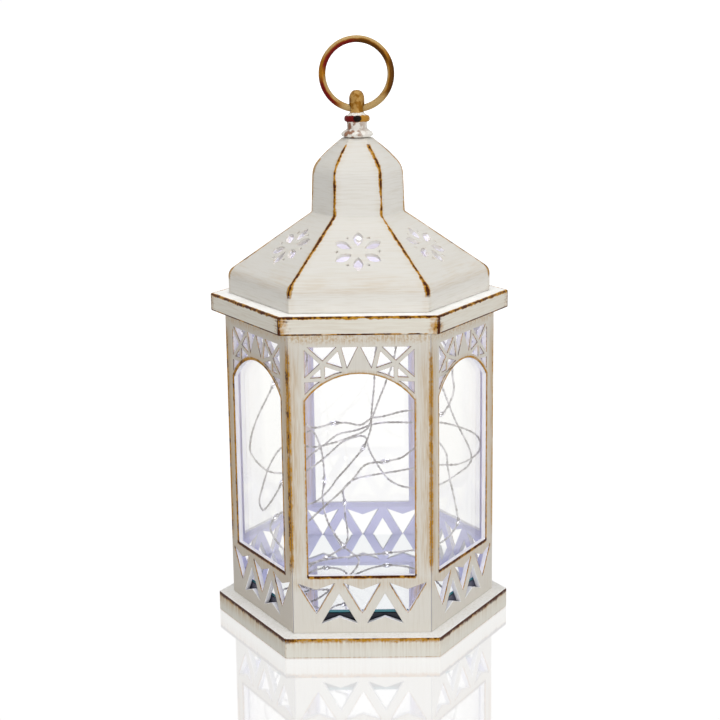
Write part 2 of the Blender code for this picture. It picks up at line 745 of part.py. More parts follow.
def make_roof():
    roof = turned("roof_shell", roof_profile(), WHITE, SIDES, smooth=False)
    shell = roof.modifiers.new("skin", "SOLIDIFY")
    shell.thickness = ROOF_SKIN
    shell.offset = -1.0
    shell.use_even_offset = True
    boolean(roof, flower_cutter())


def make_finial():
    """Turned finial: flange, neck, collar and round-headed post over a stud through the crown."""
    stud_low = CROWN_Z - ROOF_SKIN - 2 * SEAT_GAP - NUT_HEIGHT
    round_top = []
    for step in range(5):
        angle = math.radians(90.0 - 22.5 * step)
        height = POST_Z + POST_HEIGHT - POST_RADIUS
        round_top.append((POST_RADIUS * math.cos(angle), height + POST_RADIUS * math.sin(angle)))
    round_top[0] = (0.0, POST_Z + POST_HEIGHT)
    edge = COLLAR_HEIGHT / 4
    profile = round_top + [
        (POST_RADIUS, POST_Z + POST_FOOT),
        (COLLAR_RADIUS - edge, POST_Z),
        (COLLAR_RADIUS, POST_Z - edge),
        (COLLAR_RADIUS, COLLAR_Z + edge),
        (COLLAR_RADIUS - edge, COLLAR_Z),
        (NECK_RADIUS, COLLAR_Z - edge / 2),
        (NECK_RADIUS, NECK_Z + edge),
        (NECK_RADIUS + edge, NECK_Z),
        (FLANGE_RADIUS, FINIAL_Z + FLANGE_HEIGHT / 2),
        (FLANGE_RADIUS, FINIAL_Z + FLANGE_HEIGHT / 4),
        (FLANGE_RADIUS - edge, FINIAL_Z),
        (STUD_RADIUS, FINIAL_Z),
        (STUD_RADIUS, stud_low),
        (0.0, stud_low),
    ]
    finial = turned("finial", profile, BRONZE, 24)
    bore = RING_THICKNESS / 2 + EYE_CLEARANCE
    across = Matrix.Translation((0.0, 0.0, EYE_Z)) @ Matrix.Rotation(math.radians(90.0), 4, "Y")
    drill = rod_mesh("eye", bore, -2 * POST_RADIUS, 2 * POST_RADIUS, segments=20)
    boolean(finial, helper("eye_drill", drill, across))


def make_nut():
    top = CROWN_Z - ROOF_SKIN - SEAT_GAP
    bore = STUD_RADIUS + SCREW_CLEARANCE
    profile = [(NUT_RADIUS, top), (NUT_RADIUS, top - NUT_HEIGHT), (bore, top - NUT_HEIGHT), (bore, top)]
    turned("finial_nut", profile, NICKEL, SIDES, closed=True, smooth=False)


def make_ring():
    """Ring through the finial's eye, its origin on the eye's axis."""
    bpy.ops.mesh.primitive_torus_add(
        major_segments=48, minor_segments=10, major_radius=RING_RADIUS, minor_radius=RING_THICKNESS / 2
    )
    made = bpy.context.active_object
    mesh = made.data
    bpy.data.objects.remove(made)
    mesh.transform(Matrix.Translation((0.0, 0.0, RING_RADIUS)) @ Matrix.Rotation(math.radians(90.0), 4, "X"))
    mesh.shade_smooth()
    place("ring_handle", mesh, BRONZE, Matrix.Translation((0.0, 0.0, EYE_Z)))


def cell_pitch():
    return 2 * CELL_RADIUS + CELL_GAP


def cell_place(number):
    """Y of a cell's middle, counted from 0 at the front."""
    return BOX_BACK + (number - (CELL_COUNT - 1) / 2) * cell_pitch()


def box_inside():
    """Half length, low y and high y of the space for the cells."""
    half_length = CELL_LENGTH / 2 + CONTACT_THICKNESS + CONTACT_GAP
    half_width = (CELL_COUNT * cell_pitch() + CELL_GAP) / 2
    return half_length, BOX_BACK - half_width, BOX_BACK + half_width


def make_battery_box():
    """Open-bottomed box for the cells, under the tray's top."""
    half, low_y, high_y = box_inside()
    outer = box_mesh(
        "battery_box",
        (2 * (half + BOX_WALL), high_y - low_y + 2 * BOX_WALL, BOX_TOP_Z - BOX_Z),
        (0.0, BOX_BACK, (BOX_TOP_Z + BOX_Z) / 2),
    )
    box = place("battery_box", outer, BLACK)
    inner = box_mesh(
        "battery_space",
        (2 * half, high_y - low_y, BOX_ROOF_Z - BOX_Z + BOX_WALL),
        (0.0, BOX_BACK, (BOX_ROOF_Z + BOX_Z - BOX_WALL) / 2),
    )
    boolean(box, helper("battery_space", inner))


def make_cells():
    """Cells side by side, every second one turned round."""
    nub = CELL_RADIUS / 3
    half = CELL_LENGTH / 2
    edge = CELL_RADIUS / 10
    profile = [
        (0.0, half),
        (nub, half),
        (nub, half - CELL_NUB),
        (CELL_RADIUS - edge, half - CELL_NUB),
        (CELL_RADIUS, half - CELL_NUB - edge),
        (CELL_RADIUS, edge - half),
        (CELL_RADIUS - edge, -half),
        (0.0, -half),
    ]
    for number in range(CELL_COUNT):
        cell = turned(f"battery_{number + 1}", profile, CELL_WRAP, 20)
        side = 1 if number % 2 else -1
        y = cell_place(number)
        spin = Matrix.Rotation(math.radians(90.0 * side), 4, "Y")
        cell.matrix_world = Matrix.Translation((0.0, y, CELL_Z)) @ spin


def make_contacts():
    """Sprung leaves at the ends of the cells: two single ones and two that join a pair."""
    half, _, _ = box_inside()
    offset = half - SEAT_GAP - CONTACT_THICKNESS / 2
    height = CONTACT_HEIGHT
    for number, (side, first, last) in enumerate(((-1, 0, 1), (-1, 2, 2), (1, 0, 0), (1, 1, 2)), 1):
        low = cell_place(first) - height / 2
        high = cell_place(last) + height / 2
        plate = box_mesh(
            "contact", (CONTACT_THICKNESS, high - low, height), (side * offset, (low + high) / 2, CELL_Z)
        )
        contact = place(f"battery_contact_{number}", plate, NICKEL)
        for slot in range(first, last + 1):
            y = cell_place(slot)
            reach = CONTACT_GAP - SEAT_GAP
            inward = side * (offset - reach / 2)
            size = (reach + CONTACT_THICKNESS / 2, height / 2, height / 3)
            pad = box_mesh("pad", size, (inward, y, CELL_Z))
            boolean(contact, helper(f"contact_pad_{number}_{slot}", pad), "UNION")


def door_frame():
    """Half length, low y and high y of the opening that the door fills."""
    half, low_y, high_y = box_inside()
    return half - DOOR_MARGIN, low_y + DOOR_MARGIN, high_y - DOOR_MARGIN


def make_cover():
    """Flat cover under the tray, with the door's opening, the switch's slot and the screw holes."""
    half, low_y, high_y = door_frame()
    slot_half = (KNOB_SIZE + SWITCH_TRAVEL) / 2 + RUNNING_GAP
    slot_depth = KNOB_SIZE / 2 + RUNNING_GAP
    slot = rectangle(-slot_half, slot_half, -SWITCH_FRONT - slot_depth, -SWITCH_FRONT + slot_depth)
    outlines = [hexagon(PLINTH_INNER - TRAY_CLEARANCE), rectangle(-half, half, low_y, high_y), slot]
    mesh = sheet_mesh("base_cover", outlines, COVER_THICKNESS)
    middle = Matrix.Translation((0.0, 0.0, COVER_RECESS + COVER_THICKNESS / 2))
    cover = place("base_cover", mesh, BLACK, middle)
    hole = SCREW_RADIUS + SCREW_CLEARANCE
    for number, (x, y) in enumerate(screw_places(), 1):
        drill = helper(f"cover_hole_{number}", rod_mesh("hole", hole, 0.0, 2 * COVER_TOP_Z, x, y, 12))
        boolean(cover, drill)
    notch_z = COVER_RECESS + DOOR_PIN / 2
    for side in (-1, 1):
        notch = box_mesh(
            "pin_notch",
            (2 * DOOR_PIN, DOOR_PIN + 2 * RUNNING_GAP, DOOR_PIN + 2 * RUNNING_GAP),
            (side * half, high_y - DOOR_PIN / 2 - RUNNING_GAP, notch_z),
        )
        boolean(cover, helper(f"pin_notch_{side + 2}", notch))
    scoop_z = COVER_RECESS - COVER_THICKNESS / 4
    scoop = box_mesh("finger_scoop", (LATCH_WIDTH, 2 * LATCH_LENGTH, COVER_THICKNESS), (0.0, low_y, scoop_z))
    boolean(cover, helper("finger_scoop", scoop))
    post_top = BOX_Z + SWITCH_HEIGHT
    for side in (-1, 1):
        x = side * (BOARD_LENGTH / 2 - BOARD_POST)
        post = rod_mesh("post", BOARD_POST, COVER_RECESS + COVER_THICKNESS / 2, post_top, x, -SWITCH_FRONT)
        boolean(cover, helper(f"board_post_{side + 2}", post), "UNION")


def make_door():
    """Battery door: a plate with a round hinge edge, two pins and a finger tab at the front."""
    half, low_y, high_y = door_frame()
    radius = DOOR_PIN / 2
    axis_y = high_y - radius - RUNNING_GAP
    axis_z = COVER_RECESS + radius
    width = half - RUNNING_GAP
    low = low_y + RUNNING_GAP - axis_y
    thickness = COVER_THICKNESS - SEAT_GAP
    middle = (0.0, low / 2, COVER_RECESS + thickness / 2 - axis_z)
    plate = box_mesh("battery_door", (2 * width, -low, thickness), middle)
    door = place("battery_door", plate, BLACK, Matrix.Translation((0.0, axis_y, axis_z)))
    turn = Matrix.Translation((0.0, axis_y, axis_z)) @ Matrix.Rotation(math.radians(90.0), 4, "Y")
    barrel = helper("door_barrel", rod_mesh("barrel", radius, -width, width, segments=16), turn)
    boolean(door, barrel, "UNION")
    reach = width + DOOR_PIN_REACH
    pins = helper("door_pins", rod_mesh("pins", 0.7 * radius, -reach, reach, segments=12), turn)
    boolean(door, pins, "UNION")


def make_switch():
    """Slide switch on the timer board, its knob down through the cover's slot."""
    base = BOX_Z
    size = (SWITCH_LENGTH, SWITCH_WIDTH, SWITCH_HEIGHT)
    body = box_mesh("switch_body", size, (0.0, -SWITCH_FRONT, base + SWITCH_HEIGHT / 2))
    place("switch_body", body, NICKEL)
    knob_height = COVER_TOP_Z - KNOB_DROP
    knob = box_mesh("switch_knob", (KNOB_SIZE, KNOB_SIZE, knob_height), (0.0, 0.0, knob_height / 2))
    start = Matrix.Translation((-SWITCH_TRAVEL / 2, -SWITCH_FRONT, KNOB_DROP))
    place("switch_knob", knob, BLACK, start)
    board_z = base + SWITCH_HEIGHT + SEAT_GAP
    size = (BOARD_LENGTH, BOARD_WIDTH, BOARD_THICKNESS)
    board = box_mesh("timer_board", size, (0.0, -SWITCH_FRONT, board_z + BOARD_THICKNESS / 2))
    place("timer_board", board, BOARD_GREEN)


def smooth_route(route):
    """A route in millimetres as points in metres, with the speed of a smooth curve at each."""
    knots = [Vector(point) * MM for point in route]
    run = [2 * knots[0] - knots[1]] + knots + [2 * knots[-1] - knots[-2]]
    speeds = []
    for before, here, after in zip(run, run[1:], run[2:]):
        first = math.sqrt((here - before).length)
        second = math.sqrt((after - here).length)
        speed = (here - before) / first + (after - here) / second
        speeds.append(speed - (after - before) / (first + second))
    return knots, speeds


def wire_points(route, lights, radius):
    """Points along a length of wire with the tube's radius at each: a drop of resin at each light."""
    knots, speeds = smooth_route(route)
    drops = [knots[light] for light in lights]
    points = []
    for i, knot in enumerate(knots):
        if i in lights:
            way = speeds[i].normalized() * DROP_LENGTH
            full = DROP_THICKNESS / 2
            for share, size in ((-0.5, radius), (-0.2, full), (0.2, full), (0.5, radius)):
                points.append((knot + way * share, size))
        else:
            points.append((knot, radius))
        if i + 1 == len(knots):
            break
        after = knots[i + 1]
        chord = (after - knot).length
        reach = math.sqrt(chord) / 3
        steps = max(1, round(chord / WIRE_STEP))
        curve = interpolate_bezier(
            knot, knot + speeds[i] * reach, after - speeds[i + 1] * reach, after, steps + 1
        )
        for point in curve[1:-1]:
            if all((point - drop).length > 0.5 * DROP_LENGTH + radius for drop in drops):
                points.append((point, radius))
    return points


def make_wire(name, route, look, thickness, lights=()):
    """A tube along a route, closed at both ends."""
    points = wire_points(route, lights, thickness / 2)
    curve = bpy.data.curves.new(name, "CURVE")
    curve.dimensions = "3D"
    curve.bevel_depth = 1.0
    curve.bevel_resolution = 2
    curve.use_fill_caps = True
    spline = curve.splines.new("POLY")
    spline.points.add(len(points) - 1)
    for point, (place_at, radius) in zip(spline.points, points):
        point.co = (*place_at, 1.0)
        point.radius = radius
    place(name, curve, look)
    print(name, len(points), "points")


def make_light_string():
    """The string in five lengths that meet end to end, and the leads under the floor."""
    for number, (route, lights) in enumerate(STRING_ROUTES, 1):
        make_wire(f"fairy_wire_{number}", route, WIRE_SILVER, WIRE_THICKNESS, lights)
    board_top = (BOX_Z + SWITCH_HEIGHT + SEAT_GAP + BOARD_THICKNESS + SEAT_GAP) / MM
    front = -SWITCH_FRONT / MM
    x, y = GROMMET_X / MM, GROMMET_Y / MM
    under = TRAY_UNDER_Z / MM
    top = (FLOOR_Z + SEAT_GAP + GROMMET_HEAD) / MM
    lead = [(-9, front, board_top), (-9, front, board_top + 1.2), (-13, front, under - 4)]
    lead += [(x + 6, y - 2, under - 3.4), (x + 1.6, y - 0.4, under - 3), (x, y, under - 0.8), (x, y, top)]
    make_wire("lead_wire", lead, WIRE_SILVER, WIRE_THICKNESS)
    _, low_y, _ = box_inside()
    wall = (low_y - BOX_WALL - SEAT_GAP) / MM
    for number, side in enumerate((-1, 1), 1):
        lead = [(side * 20, wall, 10), (side * 20, wall - 1.2, 10), (side * 18, wall - 4, 11)]
        lead += [(side * 13, wall - 8, 12.5), (side * 11, front + 5, board_top + 1.2)]
        lead += [(side * 11, front + 5, board_top)]
        make_wire(f"battery_lead_{number}", lead, LEAD_RED if side < 0 else BLACK, LEAD_THICKNESS)


def make_screws():
    """Pan-headed screws from below the cover into the tray's bosses."""
    top = COVER_RECESS + SCREW_LENGTH
    seat = COVER_RECESS - SEAT_GAP
    profile = [
        (0.0, top),
        (SCREW_RADIUS / 2, top),
        (SCREW_RADIUS, top - SCREW_RADIUS),
        (SCREW_RADIUS, seat),
        (SCREW_HEAD, seat),
        (SCREW_HEAD, seat - SCREW_HEAD_HEIGHT / 2),
        (SCREW_HEAD * 0.7, seat - SCREW_HEAD_HEIGHT),
        (0.0, seat - SCREW_HEAD_HEIGHT),
    ]
    for number, (x, y) in enumerate(screw_places(), 1):
        screw = turned(f"cover_screw_{number}", profile, NICKEL, 12)
        screw.location = (x, y, 0.0)


make_plinth()
make_tray()
make_mirror()
make_grommet()
make_walls()
make_panes()
make_cornice()
make_roof()
make_finial()
make_nut()
make_ring()
make_battery_box()
make_cells()
make_contacts()
make_cover()
make_door()
make_switch()
make_screws()
make_light_string()
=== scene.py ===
# %% [markdown]
# # A white lantern with micro lights
#
# The part was modelled and packed beforehand. This script loads its solids as a fixed frame, dresses
# the pieces that show, gives every piece its finish, and sets up the camera and the light.
# Lengths are in metres.

import math
import random

import bmesh
import bpy
from mathutils import Matrix, Vector
from mathutils.geometry import interpolate_bezier


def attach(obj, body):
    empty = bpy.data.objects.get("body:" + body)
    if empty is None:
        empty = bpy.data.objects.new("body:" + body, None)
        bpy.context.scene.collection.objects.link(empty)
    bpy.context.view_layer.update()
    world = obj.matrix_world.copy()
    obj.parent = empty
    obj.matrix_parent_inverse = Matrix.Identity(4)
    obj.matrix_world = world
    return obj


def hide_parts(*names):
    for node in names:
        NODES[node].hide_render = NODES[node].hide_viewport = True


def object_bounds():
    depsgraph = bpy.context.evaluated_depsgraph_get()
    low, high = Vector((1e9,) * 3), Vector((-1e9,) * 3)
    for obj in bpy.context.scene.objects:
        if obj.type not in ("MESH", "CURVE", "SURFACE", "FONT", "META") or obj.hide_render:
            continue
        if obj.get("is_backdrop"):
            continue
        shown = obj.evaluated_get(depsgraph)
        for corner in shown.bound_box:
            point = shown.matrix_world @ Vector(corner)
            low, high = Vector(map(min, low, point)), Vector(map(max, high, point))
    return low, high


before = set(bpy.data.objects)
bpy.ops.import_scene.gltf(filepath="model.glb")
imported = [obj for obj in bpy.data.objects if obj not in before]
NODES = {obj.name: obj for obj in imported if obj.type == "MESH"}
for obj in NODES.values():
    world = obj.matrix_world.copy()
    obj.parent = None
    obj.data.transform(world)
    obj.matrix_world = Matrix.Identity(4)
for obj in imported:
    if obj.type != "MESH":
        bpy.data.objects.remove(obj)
cad_box = [list(corner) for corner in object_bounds()]
MM = 0.001
SIDES = 6
COS30 = math.cos(math.radians(30.0))
print("solids:", len(NODES))

# %% [markdown]
# ## Camera, floor and light
#
# The photograph was taken with a long lens from a little above the roof's height. The camera's place
# comes from a fit to the lantern's corners. The floor is a white sheet that fills the view, and
# the light is a bright room with a soft lamp in front at the right, one above, and a weak one at the
# left, so the left side stays darker.

# %% Camera
DISTANCE = 0.7307
HEIGHT = 0.2920
PITCH = math.radians(12.93)
TURN = math.radians(-0.385)
ROLL = math.radians(0.718)
FOCAL_PIXELS = 1590.3
PICTURE_PIXELS = 720
SENSOR_MM = 36.0
NEAREST = 0.01


def add_object(name, data):
    """A new object in the scene, round the data that it's given."""
    made = bpy.data.objects.new(name, data)
    bpy.context.scene.collection.objects.link(made)
    return made


camera_data = bpy.data.cameras.new("camera")
camera_data.sensor_width = SENSOR_MM
camera_data.lens = SENSOR_MM * FOCAL_PIXELS / PICTURE_PIXELS
camera_data.clip_start = NEAREST
camera = add_object("camera", camera_data)
camera.matrix_world = (
    Matrix.Rotation(-TURN, 4, "Z")
    @ Matrix.Translation((0.0, -DISTANCE, HEIGHT))
    @ Matrix.Rotation(math.radians(90.0) - PITCH, 4, "X")
    @ Matrix.Rotation(-ROLL, 4, "Z")
)
bpy.context.scene.camera = camera
print("lens:", round(camera_data.lens, 1), "mm")


# %% [markdown]
# ## Nodes from code
#
# A material is a graph of nodes. Drawn by hand, one node is quickly added and joined, but from code it
# takes several lines. So a few helpers add a node, feed its inputs and return its output, and a mask
# is then written like a sum: times, plus, minus and most each stand for Math nodes.


# %% Helpers for materials
def new_material(name):
    """A material with its nodes. Returns it, its node tree and its Principled shader."""
    material = bpy.data.materials.new(name)
    material.use_nodes = True
    tree = material.node_tree
    return material, tree, tree.nodes["Principled BSDF"]


def node(tree, kind, **settings):
    """A shader node with some of its properties set."""
    made = tree.nodes.new("ShaderNode" + kind)
    for name, value in settings.items():
        setattr(made, name, value)
    return made


def put(tree, value, socket):
    """Feeds a socket from another socket, or sets it to a constant."""
    if isinstance(value, bpy.types.NodeSocket):
        tree.links.new(value, socket)
    else:
        socket.default_value = value


def feed(tree, target, **values):
    """Feeds the inputs of a node by name. An underscore stands for a space."""
    for label, value in values.items():
        put(tree, value, target.inputs[label.replace("_", " ")])


def maths(tree, operation, *values, clamp=False):
    """One Math node."""
    made = node(tree, "Math", operation=operation, use_clamp=clamp)
    for value, socket in zip(values, made.inputs):
        put(tree, value, socket)
    return made.outputs[0]


def in_turn(tree, operation, result, *others):
    """Math nodes of one kind, each fed by the one before."""
    for value in others:
        result = maths(tree, operation, result, value)
    return result


def times(tree, *values):
    """The product of some values."""
    return in_turn(tree, "MULTIPLY", *values)


def plus(tree, *values):
    """The sum of some values."""
    return in_turn(tree, "ADD", *values)


def most(tree, *values):
    """The largest of some values."""
    return in_turn(tree, "MAXIMUM", *values)


def minus(tree, value, less):
    """A value less another."""
    return maths(tree, "SUBTRACT", value, less)


print("sums:", [helper.__name__ for helper in (times, plus, most, minus)])


# %% Helpers for patterns
def axes_of(tree, vector):
    """The X, Y and Z of a vector, by name."""
    parts = node(tree, "SeparateXYZ")
    put(tree, vector, parts.inputs[0])
    return parts.outputs


def object_place(tree):
    """Where a point of the surface lies on the piece."""
    return node(tree, "TexCoord").outputs["Object"]


def blend_colours(tree, share, first, second):
    """A colour between two others."""
    made = node(tree, "Mix", data_type="RGBA")
    put(tree, share, made.inputs[0])
    put(tree, first, made.inputs[6])
    put(tree, second, made.inputs[7])
    return made.outputs[2]


def noise(tree, vector, scale, detail=3.0, stretch=(1.0, 1.0, 1.0), offset=0.0):
    """Noise in object space, drawn out along an axis where its stretch is small."""
    moved = node(tree, "Mapping")
    feed(tree, moved, Vector=vector, Scale=stretch, Location=(offset, offset / 2, -offset))
    made = node(tree, "TexNoise")
    feed(tree, made, Vector=moved.outputs["Vector"], Scale=scale, Detail=detail)
    return made.outputs["Fac"]


def ramp(tree, value, low, high):
    """0 below low, 1 above high, and smooth between."""
    made = node(tree, "MapRange", interpolation_type="SMOOTHSTEP")
    feed(tree, made, Value=value, From_Min=low, From_Max=high)
    return made.outputs["Result"]


def bump(tree, height, strength, distance):
    """A normal that follows a fine relief."""
    made = node(tree, "Bump")
    feed(tree, made, Strength=strength, Distance=distance, Height=height)
    return made.outputs["Normal"]


print("patterns:", [helper.__name__ for helper in (noise, ramp, bump)])

# %% [markdown]
# ### Floor and room
#
# The lantern stands on a white sheet in an even white room. Lamps alone would leave a shadow that the
# photograph doesn't have, so the sheet and the room give light themselves. What the camera sees of
# them is brighter than what they cast, so the picture stays white and the paint keeps its shade.

# %% Floor
WHITE = (1.0, 1.0, 1.0, 1.0)
FLOOR_GREY = (0.05, 0.05, 0.05, 1.0)
FLOOR_HALF = 60.0
FLOOR_SEEN = 0.67
FLOOR_CAST = 0.36


def mesh_from(name, shape):
    """A mesh of a bmesh, which is used up."""
    mesh = bpy.data.meshes.new(name)
    shape.to_mesh(mesh)
    shape.free()
    return mesh


def seen_or_cast(tree, seen, cast):
    """One strength for what the camera and reflections see, another for the light that is cast."""
    path = node(tree, "LightPath")
    straight = most(tree, path.outputs["Is Camera Ray"], path.outputs["Is Glossy Ray"])
    return maths(tree, "MULTIPLY_ADD", straight, seen - cast, cast)


def make_floor():
    """A white sheet that shines a little by itself, so the lantern leaves a reflection and no shadow."""
    sheet = bmesh.new()
    bmesh.ops.create_grid(sheet, x_segments=1, y_segments=1, size=FLOOR_HALF)
    floor = add_object("floor", mesh_from("floor", sheet))
    material, tree, shader = new_material("white_sheet")
    feed(
        tree, shader, Base_Color=FLOOR_GREY, Roughness=0.05, IOR=3.2,
        Emission_Color=WHITE, Emission_Strength=seen_or_cast(tree, FLOOR_SEEN, FLOOR_CAST),
    )
    floor.data.materials.append(material)
    floor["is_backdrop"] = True
    return floor


floor = make_floor()
print("floor:", floor.name)

# %% Room and lamps
ROOM_SEEN = 1.02
ROOM_CAST = 0.40
LAMP_SIZE = 0.8
LAMP_TARGET = Vector((0.0, 0.0, 0.14))
LAMPS = (
    ("key", (0.55, -1.45, 0.20), 11.6),
    ("top", (0.0, -0.15, 1.45), 10.5),
    ("left", (-1.5, -0.1, 0.35), 1.2),
)


def make_room():
    """A white room, brighter where it's seen than in the light that it casts."""
    world = bpy.data.worlds.new("room")
    world.use_nodes = True
    tree = world.node_tree
    strength = seen_or_cast(tree, ROOM_SEEN, ROOM_CAST)
    feed(tree, tree.nodes["Background"], Color=WHITE, Strength=strength)
    bpy.context.scene.world = world


def soft_lamp(name, place, watts):
    """A square lamp that faces the middle of the lantern."""
    data = bpy.data.lights.new(name, "AREA")
    data.shape = "SQUARE"
    data.size = LAMP_SIZE
    data.energy = watts
    turn = (Vector(place) - LAMP_TARGET).to_track_quat("Z", "Y").to_matrix().to_4x4()
    add_object(name, data).matrix_world = Matrix.Translation(place) @ turn


make_room()
for name, place, watts in LAMPS:
    soft_lamp(name, place, watts)
bpy.context.scene.view_settings.view_transform = "Standard"
print("lamps:", len(LAMPS))


# %% [markdown]
# ## The paint
#
# The lantern is moulded in plastic, painted cream white, and then a brush with a little brown and gold
# is drawn over every edge, so that it looks old. Three effects make that finish, and several
# materials share them, so each is a node group: the streaks that the brush leaves, the distance to the
# nearest corner line of a six-sided piece, and the gilding itself.


# %% Group helper and brush streaks
def new_group(name, inputs, outputs):
    """A node group with named sockets. Returns its tree, its inputs inside and its outputs inside."""
    tree = bpy.data.node_groups.new(name, "ShaderNodeTree")
    for label, kind, value in inputs:
        socket = tree.interface.new_socket(label, in_out="INPUT", socket_type="NodeSocket" + kind)
        if value is not None:
            socket.default_value = value
    for label, kind in outputs:
        tree.interface.new_socket(label, in_out="OUTPUT", socket_type="NodeSocket" + kind)
    inside = tree.nodes.new("NodeGroupInput").outputs
    return tree, inside, tree.nodes.new("NodeGroupOutput").inputs


def use_group(tree, group, **values):
    """Places a group in a material, with its inputs given by name."""
    made = node(tree, "Group", node_tree=group)
    feed(tree, made, **values)
    return made.outputs


def make_streak_group():
    """Fine lines that a brush leaves. Stretch is small along the way that the brush went."""
    tree, inside, out = new_group(
        "brush_streaks",
        [("Vector", "Vector", None), ("Stretch", "Vector", (1.0, 1.0, 1.0)), ("Scale", "Float", 900.0)],
        [("Streak", "Float"), ("Patch", "Float")],
    )
    drawn = node(tree, "VectorMath", operation="MULTIPLY")
    put(tree, inside["Vector"], drawn.inputs[0])
    put(tree, inside["Stretch"], drawn.inputs[1])
    fine = node(tree, "TexNoise")
    feed(tree, fine, Vector=drawn.outputs[0], Scale=inside["Scale"], Detail=4.0, Roughness=0.62)
    put(tree, fine.outputs["Fac"], out["Streak"])
    put(tree, noise(tree, inside["Vector"], 55.0), out["Patch"])
    return tree


streak_group = make_streak_group()
print("group:", streak_group.name)


# %% Distance to the corner lines
def make_corner_group():
    """Distance to the nearest upright plane through opposite corners, and how far a point stands out."""
    tree, inside, out = new_group(
        "six_sides", [("Vector", "Vector", None)], [("Distance", "Float"), ("Apothem", "Float")],
    )
    axes = axes_of(tree, inside["Vector"])
    across = times(tree, axes["X"], COS30)
    along = times(tree, axes["Y"], 0.5)
    three_ways = (
        maths(tree, "ABSOLUTE", axes["Y"]),
        maths(tree, "ABSOLUTE", minus(tree, across, along)),
        maths(tree, "ABSOLUTE", plus(tree, across, along)),
    )
    put(tree, in_turn(tree, "MINIMUM", *three_ways), out["Distance"])
    put(tree, most(tree, *three_ways), out["Apothem"])
    return tree


corner_group = make_corner_group()
print("group:", corner_group.name)

# %% Gilding
CREAM = (0.80, 0.775, 0.72, 1.0)
CREAM_DUSTY = (0.60, 0.55, 0.46, 1.0)
# Near-white for faces where the light falls most: painted light.
PAINTED_LIGHT_WHITE = (0.93, 0.925, 0.905, 1.0)
# Lilac of the inner faces: painted light of the glow inside.
PAINTED_GLOW_LILAC = (0.62, 0.62, 0.78, 1.0)
# Tan of the haze: brown haze, and under the slab and along the roof's crease painted shade.
HAZE_AND_SHADE_TAN = (0.55, 0.42, 0.27, 1.0)
GOLD = (0.47, 0.225, 0.016, 1.0)
TAN = (0.45, 0.30, 0.15, 1.0)
BROWN = (0.062, 0.014, 0.002, 1.0)


def swing(tree, value, reach):
    """Moves a noise to both sides of 0, half a reach each way."""
    return times(tree, minus(tree, value, 0.5), reach)


def make_gilding_group():
    """Cream paint under brown and gold. Mask says where, Depth from tan over gold to brown."""
    tree, inside, out = new_group(
        "gilding",
        [
            ("Vector", "Vector", None), ("Mask", "Float", 0.0), ("Depth", "Float", 0.5),
            ("Haze", "Float", 0.0), ("Streak", "Float", 0.5), ("Dust", "Float", 0.5),
            ("Bare", "Color", CREAM),
        ],
        [("Colour", "Color"), ("Roughness", "Float"), ("Height", "Float")],
    )
    streak = inside["Streak"]
    dusty = times(tree, ramp(tree, streak, 0.42, 0.74), inside["Dust"])
    cream = blend_colours(tree, dusty, inside["Bare"], CREAM_DUSTY)
    brushed = plus(tree, ramp(tree, streak, 0.30, 0.70), 0.25)
    # The haze, brown haze and in places painted shade, is laid on in streaks.
    haze_and_shade_share = maths(tree, "MULTIPLY", inside["Haze"], brushed, clamp=True)
    cream = blend_colours(tree, haze_and_shade_share, cream, HAZE_AND_SHADE_TAN)

    fine = minus(tree, noise(tree, inside["Vector"], 900.0, 2.0, offset=0.77), 0.5)
    uneven = plus(tree, swing(tree, streak, 0.7), times(tree, fine, 0.6))
    held = ramp(tree, plus(tree, inside["Mask"], uneven), 0.15, 0.85)
    held = times(tree, held, ramp(tree, inside["Mask"], 0.0, 0.15))

    patch = noise(tree, inside["Vector"], 190.0, 2.0, offset=0.31)
    mottle = plus(tree, swing(tree, patch, 1.5), times(tree, fine, 1.1))
    depth = plus(tree, inside["Depth"], mottle)
    metal = blend_colours(tree, ramp(tree, depth, 0.1, 0.4), TAN, GOLD)
    metal = blend_colours(tree, ramp(tree, depth, 0.5, 0.9), metal, BROWN)
    put(tree, blend_colours(tree, held, cream, metal), out["Colour"])
    put(tree, minus(tree, 0.52, times(tree, held, 0.12)), out["Roughness"])
    put(tree, plus(tree, streak, times(tree, held, 0.4)), out["Height"])
    return tree


gilding_group = make_gilding_group()
print("group:", gilding_group.name)

# %% [markdown]
# ## Where the paint lies
#
# The painted materials differ in the way that the brush went, and in where the gilding lies. A rule
# for each kind of piece works that out from the point's own place: how far it is from a corner line,
# an edge or an opening. It gives a mask, a depth from gold to brown, and a faint haze, which is brown
# haze and in places painted shade. What can't be told from the place comes from face attributes,
# which the pieces get when their edges are bevelled: gilt and deep on the arrises of the openings,
# and side, front, inner, top and one for wear and shade on the rest. Inner faces are tinted lilac and
# top faces painted nearly white, both painted light, and the mark for wear and shade darkens a face,
# as wear and as painted shade.
# A picture of the paint could be laid on instead, but a rule stays sharp from near and fits all sides.


# %% Masks and the painted material
UPRIGHT = (1.0, 1.0, 0.06)
LEVEL = (0.05, 0.05, 1.0)
PAINT_SHINE = 0.06
PAINT_RELIEF = 0.0002


def height_of(tree, vector):
    """How high a point lies."""
    return axes_of(tree, vector)["Z"]


def attribute(tree, name):
    """A face attribute, as a mask."""
    return node(tree, "Attribute", attribute_name=name).outputs["Fac"]


def above(tree, value, level, soft):
    """0 under a level and 1 over it."""
    return ramp(tree, value, level - soft, level + soft)


def band(tree, value, width, soft):
    """1 where a value is under a width, falling to 0."""
    return minus(tree, 1.0, above(tree, value, width, soft))


def window_between(tree, value, low, high, soft):
    """1 between two values, falling to 0 outside them."""
    return times(tree, above(tree, value, low, soft), band(tree, value, high, soft))


